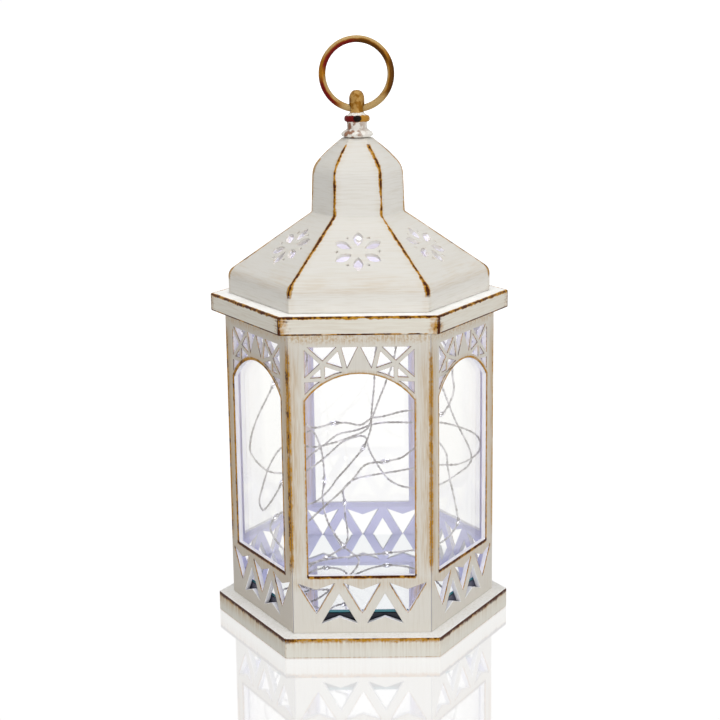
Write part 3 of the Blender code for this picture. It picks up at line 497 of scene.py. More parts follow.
def painted(name, rule, stretch, dust, bare, worn=CREAM, scale=1500.0):
    """Paint whose mask, depth and haze come from rule(tree, place, sides, patch)."""
    material, tree, shader = new_material(name)
    place = object_place(tree)
    streaks = use_group(tree, streak_group, Vector=place, Stretch=stretch, Scale=scale)
    # The rule's haze holds brown haze and, in places, painted shade.
    mask, depth, haze = rule(tree, place, use_group(tree, corner_group, Vector=place), streaks["Patch"])
    # Faces marked inner are tinted lilac, painted light of the glow inside, and take no dust.
    inner = attribute(tree, "inner")
    # Faces marked top, the level tops, the cut faces of the openings and the roof's inner side, are painted
    # nearly white: painted light.
    bare = blend_colours(tree, attribute(tree, "top"), bare, PAINTED_LIGHT_WHITE)
    # Faces marked for wear and shade take a darker colour: on the walls wear, partly painted shade, and on the
    # roof painted shade.
    bare = blend_colours(tree, attribute(tree, "worn"), bare, worn)
    paint = use_group(
        tree, gilding_group, Vector=place, Mask=mask, Depth=depth, Haze=haze, Streak=streaks["Streak"],
        Dust=times(tree, minus(tree, 1.0, inner), dust), Bare=blend_colours(tree, inner, bare, PAINTED_GLOW_LILAC),
    )
    feed(
        tree, shader, Base_Color=paint["Colour"], Roughness=paint["Roughness"],
        Specular_IOR_Level=PAINT_SHINE, Normal=bump(tree, paint["Height"], 0.25, PAINT_RELIEF),
    )
    return material


print("masks:", [helper.__name__ for helper in (above, band, window_between)])

# %% [markdown]
# ### The roof's paint
#
# The brush ran down the six hips of the roof and up its cupola, and left a brown core with gold
# beside it. The two hips at the sides run along X, so Y is the distance from them. They are drawn a
# little broader, in patches, and without a break at the eave and at the cupola's left shoulder. A
# faint line along the crease over the eave is painted shade.

# %% The roof's rule
HIP_FOOT = (0.1622, 0.1662)
HIP_TOP = 0.2262
HIP_HALF = 0.00085
FLANK_HALF = 0.0012
EAVE = (0.1622, 0.1695)
SHOULDER = (0.2125, 0.2195)
CREASE = (0.1655, 0.1685)
SMEAR = (0.1660, 0.1720)


def roof_rule(tree, place, sides, patch):
    """The hips: a brown core with gold beside it, and a faint line along the eave's crease."""
    axes = axes_of(tree, place)
    distance, height = sides["Distance"], axes["Z"]
    ragged = swing(tree, noise(tree, place, 420.0, 2.0), 0.0012)
    off = plus(tree, minus(tree, distance, swing(tree, patch, 0.0014)), ragged)

    eave = window_between(tree, height, *EAVE, 0.0015)
    hips = band(tree, maths(tree, "MULTIPLY_ADD", eave, -0.0005, off), HIP_HALF, 0.0004)
    left = band(tree, axes["X"], 0.0, 0.0010)
    wide = most(tree, eave, times(tree, window_between(tree, height, *SHOULDER, 0.0008), left))
    flank = plus(tree, maths(tree, "ABSOLUTE", axes["Y"]), ragged)
    flank = band(tree, maths(tree, "MULTIPLY_ADD", wide, -0.0007, flank), FLANK_HALF, 0.0006)
    flank = times(tree, flank, most(tree, ramp(tree, patch, 0.44, 0.58), wide))
    painted_heights = times(tree, ramp(tree, height, *HIP_FOOT), band(tree, height, HIP_TOP, 0.0008))
    outer = band(tree, attribute(tree, "inner"), 0.15, 0.05)
    mask = times(tree, most(tree, hips, flank), painted_heights, outer)
    # On the roof only the flowers' arrises carry gilt: a thin line of painted shadow.
    mask = most(tree, mask, attribute(tree, "gilt"))
    depth = minus(tree, maths(tree, "MULTIPLY_ADD", eave, 0.20, 0.98), times(tree, off, 850.0))

    beside = times(tree, band(tree, distance, 0.0022, 0.0012), 0.18)
    # The line along the eave's crease is painted shade.
    crease = times(tree, window_between(tree, height, *CREASE, 0.0012), 0.30)
    smear = times(tree, window_between(tree, height, *SMEAR, 0.0030), ramp(tree, patch, 0.40, 0.60), 0.28)
    return mask, depth, most(tree, beside, crease, smear)


print("half width of a hip's line in mm:", round(HIP_HALF / MM, 2))

# %% [markdown]
# ### The walls' paint
#
# On a wall the paint sits on the arrises round the window, on the slanting edges of the arrows that
# point down, in a stroke under the sill, and in places down the corners. A speckled haze under the
# slab is brown streaks with painted shade of the slab. Nothing inside is gilded. The more a wall is
# worn, the broader its lines are. The window's outline is known, so the distance to it is worked out
# from its jambs, sill and arch.

# %% Distances on a wall
WALL_HALF = 0.0315
WALL_FACE = 0.0630 * COS30
ARCH_CENTRE = 0.10065
ARCH_RADIUS = 0.02985
WINDOW_SILL = 0.0370
WINDOW_HALF = 0.0240
ARROW_PITCH = 0.0207
ARROW_TIP = 0.0192
ARROW_TAIL = 0.0335
ARROW_SLOPE = 0.0082 / (ARROW_TAIL - ARROW_TIP)
ARROW_ROW = (0.0200, 0.0332)
ARROW_LINE = (-0.00030, 0.00055)


def reach_of(tree, first, second):
    """How far apart two points are, from how far they are apart in two directions."""
    return maths(tree, "SQRT", plus(tree, times(tree, first, first), times(tree, second, second)))


def along_wall(tree, distance):
    """How far a point lies from its wall's middle line."""
    return minus(tree, WALL_HALF, maths(tree, "DIVIDE", distance, COS30))


def window_distance(tree, along, height):
    """How far a point of a wall lies outside its window: past a jamb, under the sill, or over the arch."""
    jambs = minus(tree, along, WINDOW_HALF)
    sill = minus(tree, WINDOW_SILL, height)
    rise = most(tree, minus(tree, height, ARCH_CENTRE), 0.0)
    return most(tree, jambs, sill, minus(tree, reach_of(tree, along, rise), ARCH_RADIUS))


def arrow_edges(tree, along, height, ragged):
    """The slanting edges of the arrows that point down."""
    turned = maths(tree, "PINGPONG", along, ARROW_PITCH / 2)
    edge = times(tree, minus(tree, height, ARROW_TIP), ARROW_SLOPE)
    outside = times(tree, minus(tree, turned, edge), math.cos(math.atan(ARROW_SLOPE)))
    line = window_between(tree, plus(tree, outside, ragged), *ARROW_LINE, 0.00025)
    return times(tree, line, window_between(tree, height, *ARROW_ROW, 0.0006))


print("arrow slope:", round(ARROW_SLOPE, 3))

# %% The walls' rule
WALL_MIDDLE = (0.040, 0.140)
WALL_HEAD = (0.1425, 0.1465)
SILL_STROKE = (0.0356, 0.0376)
SILL_DEEP = (0.0359, 0.0376)
SILL_HAZE = (0.0310, 0.0365)
CORNER_HALF = 0.00095
RIM_WIDTH = 0.00072
CUT_GILT_DEPTH = 0.00095


def wall_rule(tree, place, sides, patch):
    """The arrises of the openings, the corners where the brush caught them, and haze beside both."""
    distance, height = sides["Distance"], height_of(tree, place)
    front, worn = attribute(tree, "front"), attribute(tree, "worn")
    along = along_wall(tree, distance)
    spread = maths(tree, "MULTIPLY_ADD", worn, 0.9, 1.0)
    ragged = swing(tree, noise(tree, place, 500.0, 2.0), 0.0006)

    middle = window_between(tree, height, *WALL_MIDDLE, 0.010)
    outer = band(tree, attribute(tree, "inner"), 0.35, 0.05)
    corners = maths(tree, "DIVIDE", plus(tree, distance, ragged), spread)
    caught = times(tree, ramp(tree, patch, 0.26, 0.44), middle, outer)
    corners = times(tree, band(tree, corners, CORNER_HALF, 0.0005), caught)

    outside = plus(tree, window_distance(tree, along, height), ragged)
    outside = maths(tree, "DIVIDE", outside, spread)
    rim = times(tree, band(tree, outside, RIM_WIDTH, 0.0003), front)
    stroke = window_between(tree, plus(tree, height, ragged), *SILL_STROKE, 0.0005)
    stroke = times(tree, stroke, band(tree, along, WINDOW_HALF + 0.0004, 0.0005), front)
    arrows = times(tree, arrow_edges(tree, along, height, ragged), front, 0.72)
    rim = times(tree, most(tree, rim, stroke, arrows), 0.9)

    inward = plus(tree, minus(tree, WALL_FACE, sides["Apothem"]), ragged)
    gilt = times(tree, attribute(tree, "gilt"), band(tree, inward, CUT_GILT_DEPTH, 0.00045))
    sill = times(tree, window_between(tree, height, *SILL_DEEP, 0.0004), 0.60)
    depth = most(tree, sill, attribute(tree, "deep"))
    depth = plus(tree, depth, maths(tree, "MULTIPLY_ADD", worn, 0.30, 0.25))

    beside = times(tree, band(tree, distance, 0.0038, 0.0030), middle, spread, 0.85)
    near = times(tree, band(tree, outside, 0.0014, 0.0012), front, 0.6)
    speckle = ramp(tree, noise(tree, place, 1100.0, 2.0, offset=0.53), 0.42, 0.60)
    # Under the slab a wall's front face takes a speckled haze: brown streaks with painted shade of the slab.
    head = times(tree, ramp(tree, height, *WALL_HEAD), maths(tree, "MULTIPLY_ADD", speckle, 0.85, 0.25))
    foot = times(tree, window_between(tree, height, *SILL_HAZE, 0.0025), 0.40)
    haze = most(tree, beside, near, times(tree, most(tree, head, foot), front))
    return most(tree, corners, rim, gilt), depth, haze


print("half width of a corner's line in mm:", round(CORNER_HALF / MM, 2))

# %% [markdown]
# ### The slab's and the plinth's paint
#
# Both are six-sided plates whose upper edge took the brush. The slab has a brown line along that edge
# and another in patches at its foot, with gold strokes out of its corners. The plinth has one broad
# band, drawn downwards. Both rules start from how far a point is from the upper outer edge.

# %% The slab's and the plinth's rules
SLAB_FACE = 0.0695 * COS30
SLAB_LOW = 0.1492
SLAB_TOP = 0.1572
SLAB_EDGE_WIDTH = 0.0011
SLAB_FOOT_WIDTH = 0.00055
SLAB_STROKE_HALF = 0.0034
PLINTH_FACE = 0.0700 * COS30
PLINTH_TOP = 0.0096
PLINTH_BAND_WIDTH = 0.0021
PLINTH_FOOT_WIDTH = 0.0005
PLINTH_LEFT = -0.0450


def top_edge(tree, place, sides, face_apothem, top):
    """How far a point lies from a six-sided piece's upper outer edge, on its top or on its side."""
    inward = minus(tree, face_apothem, sides["Apothem"])
    below = minus(tree, top, height_of(tree, place))
    return plus(tree, most(tree, inward, below), swing(tree, noise(tree, place, 330.0), 0.0016))


def slab_rule(tree, place, sides, patch):
    """Brown lines along the slab's edges, and gold strokes from its corners."""
    distance, height = sides["Distance"], height_of(tree, place)
    side, deep = attribute(tree, "side"), attribute(tree, "deep")
    edge = top_edge(tree, place, sides, SLAB_FACE, SLAB_TOP)
    upper = band(tree, edge, SLAB_EDGE_WIDTH, 0.0003)
    foot = band(tree, minus(tree, height, SLAB_LOW), SLAB_FOOT_WIDTH, 0.0002)
    foot = times(tree, foot, most(tree, ramp(tree, patch, 0.42, 0.52), deep), side)
    uneven = maths(tree, "ADD", noise(tree, place, 300.0, offset=0.9), 0.40, clamp=True)
    corner = times(tree, band(tree, distance, 0.0008, 0.0004), uneven, side)
    strength = maths(tree, "MULTIPLY_ADD", deep, -0.20, 0.65)
    strokes = times(tree, band(tree, distance, SLAB_STROKE_HALF, 0.0028), strength, side)
    core = times(tree, band(tree, edge, 0.0007, 0.0005), 0.40)
    depth = most(tree, times(tree, corner, 0.45), core, times(tree, foot, 0.35))
    depth = plus(tree, depth, times(tree, deep, 0.15), 0.42)
    return most(tree, upper, foot, corner, strokes), depth, times(tree, side, 0.16)


def plinth_rule(tree, place, sides, patch):
    """A broad band under the top edge, drawn downwards, darker at the corners."""
    axes, side = axes_of(tree, place), attribute(tree, "side")
    distance, height = sides["Distance"], axes["Z"]
    edge = top_edge(tree, place, sides, PLINTH_FACE, PLINTH_TOP)
    upper = times(tree, band(tree, edge, PLINTH_BAND_WIDTH, 0.0014), times(tree, side, 0.85))
    foot = times(tree, band(tree, height, PLINTH_FOOT_WIDTH, 0.0003), 0.6, side)
    corner = times(tree, band(tree, distance, 0.0010, 0.0005), side, 0.30)
    near_corner = times(tree, band(tree, distance, 0.0030, 0.0030), upper)
    rear = times(tree, band(tree, edge, 0.0018, 0.0008), attribute(tree, "deep"))
    depth = maths(tree, "MULTIPLY_ADD", near_corner, 0.25, 0.42)
    depth = maths(tree, "MULTIPLY_ADD", rear, 0.62, depth)
    depth = plus(tree, depth, times(tree, band(tree, edge, 0.0007, 0.0006), 0.25))
    # The haze is three times as strong on the left faces as on the others.
    left = band(tree, axes["X"], PLINTH_LEFT, 0.0120)
    haze_by_side = maths(tree, "MULTIPLY_ADD", left, 0.60, 0.30)
    haze = times(tree, ramp(tree, height, 0.0020, 0.0080), haze_by_side, side)
    return most(tree, upper, foot, corner), depth, haze


print("slab's line and plinth's band in mm:", round(SLAB_EDGE_WIDTH / MM, 2), round(PLINTH_BAND_WIDTH / MM, 2))

# %% The four paints
WALL_CREAM = (0.70, 0.67, 0.61, 1.0)
# Darker wall colour for wear, partly painted shade.
WALL_WORN_AND_SHADED = (0.62, 0.575, 0.51, 1.0)
SLAB_CREAM = (0.76, 0.735, 0.66, 1.0)
ROOF_CREAM = (0.745, 0.725, 0.68, 1.0)
# Darker roof colour for slopes that face up and for the flowers' edges: painted shade.
SLOPE_PAINTED_SHADE = (0.67, 0.65, 0.605, 1.0)
roof_paint = painted("roof_paint", roof_rule, LEVEL, dust=0.42, bare=ROOF_CREAM, worn=SLOPE_PAINTED_SHADE)
wall_paint = painted("wall_paint", wall_rule, UPRIGHT, dust=0.30, bare=WALL_CREAM, worn=WALL_WORN_AND_SHADED)
slab_paint = painted("slab_paint", slab_rule, LEVEL, dust=0.30, bare=SLAB_CREAM)
plinth_paint = painted("plinth_paint", plinth_rule, UPRIGHT, dust=0.40, bare=SLAB_CREAM, scale=1100.0)
print("painted materials:", [paint.name for paint in (roof_paint, wall_paint, slab_paint, plinth_paint)])

# %% [markdown]
# ## The painted pieces
#
# Moulded plastic has no knife edges: each edge is slightly round, catches a line of light, and holds the
# brown paint. Each solid is copied, its loose triangles are joined, its flat faces are made whole
# again, and its edges are bevelled. The bevel's faces are remembered, because they're where the
# gilding goes. A Bevel modifier would round the edges too, but the operator hands back the new faces,
# so each can be sorted at once.


# %% Dressing a solid
WELD = 0.000001
FLAT_ANGLE = math.radians(0.5)
SHARP_ANGLE = math.radians(24.0)
SETTLE = 0.00027
FOOT_REACH = 0.00005
ATTRIBUTES = ("gilt", "deep", "side", "front", "inner", "top", "worn")


def bevel_edges(shape, edges, width, segments=2):
    """Rounds edges and returns the new faces."""
    made = bmesh.ops.bevel(
        shape, geom=edges, offset=width, offset_type="OFFSET", affect="EDGES", segments=segments,
        profile=0.5, material=-1, clamp_overlap=False,
    )
    return made["faces"]


def merged_copy(node_name):
    """The solid's mesh with its triangles joined and its flat faces whole."""
    shape = bmesh.new()
    shape.from_mesh(NODES[node_name].data)
    bmesh.ops.remove_doubles(shape, verts=shape.verts, dist=WELD)
    bmesh.ops.dissolve_limit(shape, angle_limit=FLAT_ANGLE, verts=shape.verts, edges=shape.edges)
    bmesh.ops.recalc_face_normals(shape, faces=shape.faces)
    return shape


def sharp_edges(shape, limit=SHARP_ANGLE):
    """The edges where the surface turns by more than an angle."""
    return [edge for edge in shape.edges if edge.is_manifold and edge.calc_face_angle() > limit]


def finished(name, shape, material, body, slot_name, *nodes):
    """A piece from a bmesh: smooth, with its material, its body and the solids that it stands for."""
    for face in shape.faces:
        face.smooth = True
    piece = add_object(name, mesh_from(name, shape))
    piece.data.materials.append(material)
    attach(piece, body)
    if nodes:
        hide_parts(*nodes)
    return piece


def weigh_normals(piece):
    """Lets the large flat faces set the shading, so only the bevels look round."""
    piece.modifiers.new("weighted normals", "WEIGHTED_NORMAL").weight = 100
    return piece


def settle(shape, level):
    """Lowers the foot of a shape by the running gap under it, so that it stands on the piece below."""
    for vertex in shape.verts:
        if abs(vertex.co.z - level) < FOOT_REACH:
            vertex.co.z -= SETTLE


def dress(name, node_name, material, width, rule, foot=None):
    """A bevelled copy of a solid. rule(face, arris) gives the attributes of a face, by name."""
    shape = merged_copy(node_name)
    if foot is not None:
        settle(shape, foot)
    layers = {label: shape.faces.layers.float.new(label) for label in ATTRIBUTES}
    arrises = set(bevel_edges(shape, sharp_edges(shape), width))
    for face in shape.faces:
        values = rule(face, face in arrises)
        for label, layer in layers.items():
            face[layer] = values.get(label, 0.0)
    return weigh_normals(finished(name, shape, material, "lantern", "antique_white", node_name))


print("attributes of a painted face:", ", ".join(ATTRIBUTES))

# %% [markdown]
# ### The walls
#
# The six walls are one moulding, used six times and mitred at its edges. What differs is the paint:
# the front wall is the least worn, and each next one is a little more so, with a darker colour that
# is partly painted shade. Each face is sorted by how deep it lies behind the wall's front, which way
# it looks, and where it is. The arrises of an opening get gilt. The edges of the arrows that point up
# are painted white, and the cut faces of the openings white and a little lilac, both painted light;
# the inner side is painted lilac, painted light of the glow inside, and has no gilding.

# %% Walls
WALL_ROUND = 0.00033
WALL_THICKNESS = 0.0026
WALL_LOW = 0.0099
FRONT_DEPTH = 0.0001
ARRIS_DEPTH = 0.0006
BACK_DEPTH = WALL_THICKNESS - 0.0005
ARRIS_REACH = WALL_HALF - 0.0030
CUT_REACH = WALL_HALF - 0.0035
# How worn each wall is, from the front round; the darker colour that comes with it is partly painted shade.
WALL_WEAR_AND_SHADE = (0.0, 0.32, 0.7, 0.8, 0.9, 1.0)
PIERCED_LOW = 0.0115
PIERCED_HIGH = 0.1470
ARROWS_HIGH = 0.0345
UP_TIP = 0.0285
FIELD_LOW = 0.1180
ARCH_CROWN = 0.1275
CUT_GILT_FRONT = 0.72
CUT_GILT = 0.35


def arrow_face(offset, height):
    """An arrow that points up is painted white at its edges, painted light, and one that points down is gilt.
    """
    reach = abs(offset - ARROW_PITCH / 2)
    upward = abs(reach - (UP_TIP - height) * ARROW_SLOPE) < 0.0008 or height < ARROW_TIP - 0.001
    return {"top": 1.0} if upward else {"gilt": 0.8, "deep": 0.45}


def wall_faces(number):
    """Attributes of one wall's faces: window arrises most, then the bars, then the arrows."""
    angle = math.radians(-90.0 + 60.0 * (number - 1))
    out = Vector((math.cos(angle), math.sin(angle), 0.0))
    along = Vector((-out.y, out.x, 0.0))
    worn = WALL_WEAR_AND_SHADE[number - 1]
    cut_gilt = CUT_GILT_FRONT if number == 1 else CUT_GILT

    def rule(face, arris):
        centre = face.calc_center_median()
        height, offset = centre.z, abs(centre.dot(along))
        depth, facing = WALL_FACE - centre.dot(out), face.normal.dot(out)
        if depth > BACK_DEPTH or facing < -0.5:
            return {"inner": 1.0}
        if depth < FRONT_DEPTH:
            return {"front": 1.0, "worn": worn}
        if arris and depth < ARRIS_DEPTH and offset < ARRIS_REACH:
            if height < ARROWS_HIGH:
                return arrow_face(offset, height)
            return {"gilt": 0.9, "deep": 0.5 if height < ARCH_CROWN else 0.45}
        # A cut face of an opening is painted white and a little lilac, painted light, and above the field it
        # is also gilt.
        if abs(facing) < 0.3 and offset < CUT_REACH and PIERCED_LOW < height < PIERCED_HIGH:
            gilt = 0.0 if height < FIELD_LOW else cut_gilt
            return {"gilt": gilt, "deep": 0.25, "inner": 0.25, "top": 1.0}
        return {"worn": worn}

    return rule


walls = [
    dress(
        f"wall_{number}", f"wall_panel_{number}", wall_paint, WALL_ROUND, wall_faces(number), foot=WALL_LOW,
    )
    for number in range(1, SIDES + 1)
]
print("walls:", len(walls), "faces in one:", len(walls[0].data.polygons))

# %% [markdown]
# ### Plinth, slab and roof
#
# The plinth is a stepped ring, the slab a plate with a lip, and the roof a hollow shell with its
# cupola, pierced on each slope. The solids already have these shapes, so the same dressing serves,
# and only the sorting of the faces differs. The brush shows on their outer sides. The tops of the
# plinth and the slab are painted whiter, a painted highlight from the light above, and the roof's
# slopes are painted darker the more they face up, which is painted shade.

# %% Plinth, slab and roof
PLINTH_ROUND = 0.0005
SLAB_ROUND = 0.0006
ROOF_ROUND = 0.00035
ROOF_LOW = 0.1575
SIDE_DEPTH = 0.0009
FLOWERS = (0.1715, 0.1920)
PETAL_AREA = 0.0000012


def apothem(point):
    """How far a point stands out towards the side that it belongs to."""
    turns = [math.radians(30.0 + 60.0 * side) for side in range(SIDES)]
    return max(point.x * math.cos(turn) + point.y * math.sin(turn) for turn in turns)


def outer_faces(face_apothem):
    """Attributes of a six-sided piece: its outer sides with their arrises, and its top."""

    def rule(face, arris):
        # Level tops are painted whiter: a painted highlight from the light above.
        if face.normal.z > 0.9:
            return {"top": 1.0}
        if apothem(face.calc_center_median()) > face_apothem - SIDE_DEPTH:
            return {"side": 1.0, "deep": 0.0 if face.normal.y < -0.8 else 1.0}
        return {}

    return rule


def roof_faces(face, arris):
    """The inner side of the roof, its slopes, and the arrises of its flowers."""
    centre = face.calc_center_median()
    towards = Vector((centre.x, centre.y, 0.0))
    # The roof's inner side is painted white and a little lilac: painted light of the glow inside.
    if face.normal.dot(towards) < 0.0 and face.normal.z < 0.3:
        return {"inner": 0.35, "top": 1.0}
    # The flowers' arrises get a thin dark line: painted shadow in the cuts.
    if arris and FLOWERS[0] < centre.z < FLOWERS[1] and face.calc_area() < PETAL_AREA:
        return {"gilt": 0.25, "worn": 1.0}
    # A slope is painted darker the more it faces up: painted shade.
    return {"worn": min(max((face.normal.z - 0.1) / 0.5, 0.0), 1.0)}


plinth = dress("plinth", "base_plinth", plinth_paint, PLINTH_ROUND, outer_faces(PLINTH_FACE))
slab = dress("slab", "cornice_slab", slab_paint, SLAB_ROUND, outer_faces(SLAB_FACE), foot=SLAB_LOW)
roof = dress("roof", "roof_shell", roof_paint, ROOF_ROUND, roof_faces, foot=ROOF_LOW)
print("faces of plinth, slab and roof:", [len(piece.data.polygons) for piece in (plinth, slab, roof)])

# %% [markdown]
# ## Finial and ring
#
# The finial is turned: a flange on the crown, a neck, a collar and a bullet-shaped post with the eye
# that the ring hangs in. Spinning its outline gives every bead of it at once. The ring is a round
# wire bent to a circle, so it's a circle spun round an axis. Both have bronze paint, worn pale on
# what stands out and dark in what lies deep; on the ring the pale is partly a painted highlight and
# the dark is painted shade.

# %% Bronze paint
OCHRE = (0.31, 0.125, 0.008, 1.0)
# Dark brown for painted shade on the ring.
OCHRE_PAINTED_SHADE = (0.050, 0.014, 0.002, 1.0)
RED_BROWN = (0.14, 0.007, 0.005, 1.0)
# Pale beige where the ring's paint is worn and where a painted highlight lies.
BEIGE_WEAR_AND_HIGHLIGHT = (0.46, 0.32, 0.14, 1.0)
RING_CENTRE = 0.2572
RING_RADIUS = 0.0156
ARC_SOFT = math.radians(10.0)


def bronze_finish(tree, shader, place, colour, metallic):
    """The grain and sheen that both bronze paints share."""
    grain = noise(tree, place, 2400.0, 2.0)
    feed(
        tree, shader, Base_Color=colour, Metallic=metallic, Specular_IOR_Level=0.05,
        Roughness=maths(tree, "MULTIPLY_ADD", grain, 0.3, 0.27), Normal=bump(tree, grain, 0.2, 0.0002),
    )


def make_ring_paint():
    """Ochre bronze, red-brown where the brush left it thick, paler beige outside and below where it is worn
    and a painted highlight lies, and darker in places, painted shade.
    """
    material, tree, shader = new_material("ring_paint")
    place = object_place(tree)
    axes = axes_of(tree, place)
    up = minus(tree, axes["Z"], RING_CENTRE)
    angle = maths(tree, "ARCTAN2", up, axes["X"])
    out = minus(tree, reach_of(tree, up, axes["X"]), RING_RADIUS)
    out = plus(tree, out, swing(tree, noise(tree, place, 260.0), 0.0012))

    def stroke(across, first, last):
        """Paint on a part of the wire's width, between two angles of the ring in degrees."""
        arc = window_between(tree, angle, math.radians(first), math.radians(last), ARC_SOFT)
        return times(tree, across, arc)

    red = most(
        tree,
        stroke(band(tree, out, 0.0002, 0.0004), 92.0, 172.0),
        stroke(ramp(tree, out, -0.0006, 0.0002), -172.0, -122.0),
    )
    dark = most(
        # Darker on the inside of the wire at the top and on its outside at the right: painted shade.
        tree,
        stroke(band(tree, out, 0.0002, 0.0005), 20.0, 100.0),
        stroke(ramp(tree, out, -0.0008, 0.0), -38.0, 26.0),
    )
    # Paler on the outside at the top, at the bottom and on the inside lower down: wear and painted highlight.
    pale = most(
        tree,
        stroke(ramp(tree, out, 0.0002, 0.0008), 40.0, 150.0),
        stroke(1.0, -118.0, -38.0),
        stroke(band(tree, out, -0.0005, 0.0004), -175.0, -120.0),
        stroke(band(tree, out, -0.0009, 0.0003), -40.0, 12.0),
    )
    colour = blend_colours(tree, times(tree, dark, 0.85), OCHRE, OCHRE_PAINTED_SHADE)
    colour = blend_colours(tree, times(tree, pale, 0.85), colour, BEIGE_WEAR_AND_HIGHLIGHT)
    colour = blend_colours(tree, red, colour, RED_BROWN)
    bronze_finish(tree, shader, place, colour, maths(tree, "MULTIPLY_ADD", pale, -0.20, 0.25))
    return material


ring_paint = make_ring_paint()
print("material:", ring_paint.name)

# %% The finial's paint
SPECK_BROWN = (0.30, 0.16, 0.10, 1.0)
COLLAR_GOLD = (0.42, 0.20, 0.03, 1.0)
POST_OCHRE = (0.42, 0.24, 0.07, 1.0)
POST_BROWN = (0.24, 0.10, 0.008, 1.0)
BLACKENED = (0.006, 0.004, 0.003, 1.0)
SPOT = (0.0002, -0.0058, 0.2376)
SPOT_RADIUS = 0.0019
COLLAR_LOW = 0.2359
COLLAR_TOP = 0.2388
POST_WHITE = 0.2398


def make_finial_paint():
    """Cream below with brown specks, a red-brown and gold collar with a black spot, a mottled post."""
    material, tree, shader = new_material("finial_paint")
    place = object_place(tree)
    axes = axes_of(tree, place)
    wander = swing(tree, noise(tree, place, 420.0, 2.0, offset=0.21), 0.0014)
    height = plus(tree, axes["Z"], wander)
    across = plus(tree, axes["X"], times(tree, wander, 0.6))

    specks = ramp(tree, noise(tree, place, 340.0, 4.0, offset=0.013), 0.45, 0.57)
    specks = times(tree, specks, ramp(tree, times(tree, axes["X"], -1.0), -0.0070, 0.0015))
    cream = blend_colours(tree, specks, CREAM, SPECK_BROWN)
    collar = blend_colours(tree, ramp(tree, across, -0.0006, 0.0010), RED_BROWN, COLLAR_GOLD)
    spot = node(tree, "VectorMath", operation="DISTANCE")
    put(tree, place, spot.inputs[0])
    put(tree, SPOT, spot.inputs[1])
    spotted = band(tree, spot.outputs["Value"], SPOT_RADIUS, 0.0004)
    collar = blend_colours(tree, spotted, collar, BLACKENED)
    mottle = ramp(tree, noise(tree, place, 330.0, offset=0.4), 0.42, 0.58)
    post = blend_colours(tree, mottle, POST_OCHRE, POST_BROWN)

    colour = blend_colours(tree, above(tree, height, COLLAR_LOW, 0.0001), cream, collar)
    colour = blend_colours(tree, above(tree, height, COLLAR_TOP, 0.0001), colour, CREAM)
    bronzed = above(tree, height, POST_WHITE, 0.0002)
    colour = blend_colours(tree, bronzed, colour, post)
    bronze_finish(tree, shader, place, colour, times(tree, bronzed, 0.15))
    return material


finial_paint = make_finial_paint()
print("material:", finial_paint.name)

# %% Spinning helper
SPIN_STEPS = 64


def spun(outline, axis=(0.0, 0.0, 1.0), centre=(0.0, 0.0, 0.0), steps=SPIN_STEPS, closed=False):
    """Spins an outline of points round an axis into a closed shape."""
    shape = bmesh.new()
    points = [shape.verts.new(point) for point in outline]
    edges = [shape.edges.new(pair) for pair in zip(points, points[1:])]
    if closed:
        edges.append(shape.edges.new((points[-1], points[0])))
    bmesh.ops.spin(
        shape, geom=points + edges, axis=axis, cent=centre, angle=math.tau, steps=steps,
        use_merge=True, use_normal_flip=False, use_duplicate=False,
    )
    bmesh.ops.remove_doubles(shape, verts=shape.verts, dist=2 * WELD)
    bmesh.ops.recalc_face_normals(shape, faces=shape.faces)
    return shape


print("steps in a full spin:", SPIN_STEPS)

# %% Finial
FINIAL_LOW = 0.2289
FINIAL_OUTLINE_MM = (
    (0.0, 0.0), (6.0, 0.0), (7.0, 0.5), (7.3, 1.2), (7.2, 1.7), (6.7, 2.3), (5.6, 3.0), (4.9, 3.5),
    (4.6, 4.1), (4.55, 5.2), (4.6, 6.4), (4.9, 6.9), (5.5, 7.1), (5.8, 7.6), (5.85, 8.5), (5.6, 9.3),
    (4.9, 9.8), (4.0, 10.1), (3.6, 10.5), (3.5, 11.2), (3.5, 17.2), (3.4, 18.2), (3.0, 19.4), (2.3, 20.4),
    (1.3, 21.0), (0.0, 21.2),
)
EYE_HEIGHT = 0.2416
EYE_RADIUS = 0.0022
DRILL_LENGTH = 0.02


def mesh_as_shown(piece):
    """The mesh that a piece shows, with its modifier or its letters worked out."""
    bpy.context.view_layer.update()
    return bpy.data.meshes.new_from_object(piece.evaluated_get(bpy.context.evaluated_depsgraph_get()))


def cut_away(piece, cutter):
    """Takes a closed shape out of a piece."""
    tool = add_object("cutter", mesh_from("cutter", cutter))
    modifier = piece.modifiers.new("cut", "BOOLEAN")
    modifier.operation = "DIFFERENCE"
    modifier.solver = "EXACT"
    modifier.object = tool
    cut = mesh_as_shown(piece)
    piece.modifiers.clear()
    piece.data = cut
    bpy.data.objects.remove(tool)


def eye_drill():
    """A rod along the eye's axis."""
    rod = bmesh.new()
    bmesh.ops.create_cone(
        rod, cap_ends=True, segments=32, radius1=EYE_RADIUS, radius2=EYE_RADIUS, depth=DRILL_LENGTH,
    )
    bmesh.ops.rotate(rod, verts=rod.verts, matrix=Matrix.Rotation(math.radians(90.0), 3, "Y"))
    bmesh.ops.translate(rod, verts=rod.verts, vec=(0.0, 0.0, EYE_HEIGHT))
    return rod


outline = [(radius * MM, 0.0, FINIAL_LOW + height * MM) for radius, height in FINIAL_OUTLINE_MM]
finial = finished("finial_turned", spun(outline), finial_paint, "lantern", "bronze", "finial")
cut_away(finial, eye_drill())
print("finial faces:", len(finial.data.polygons))

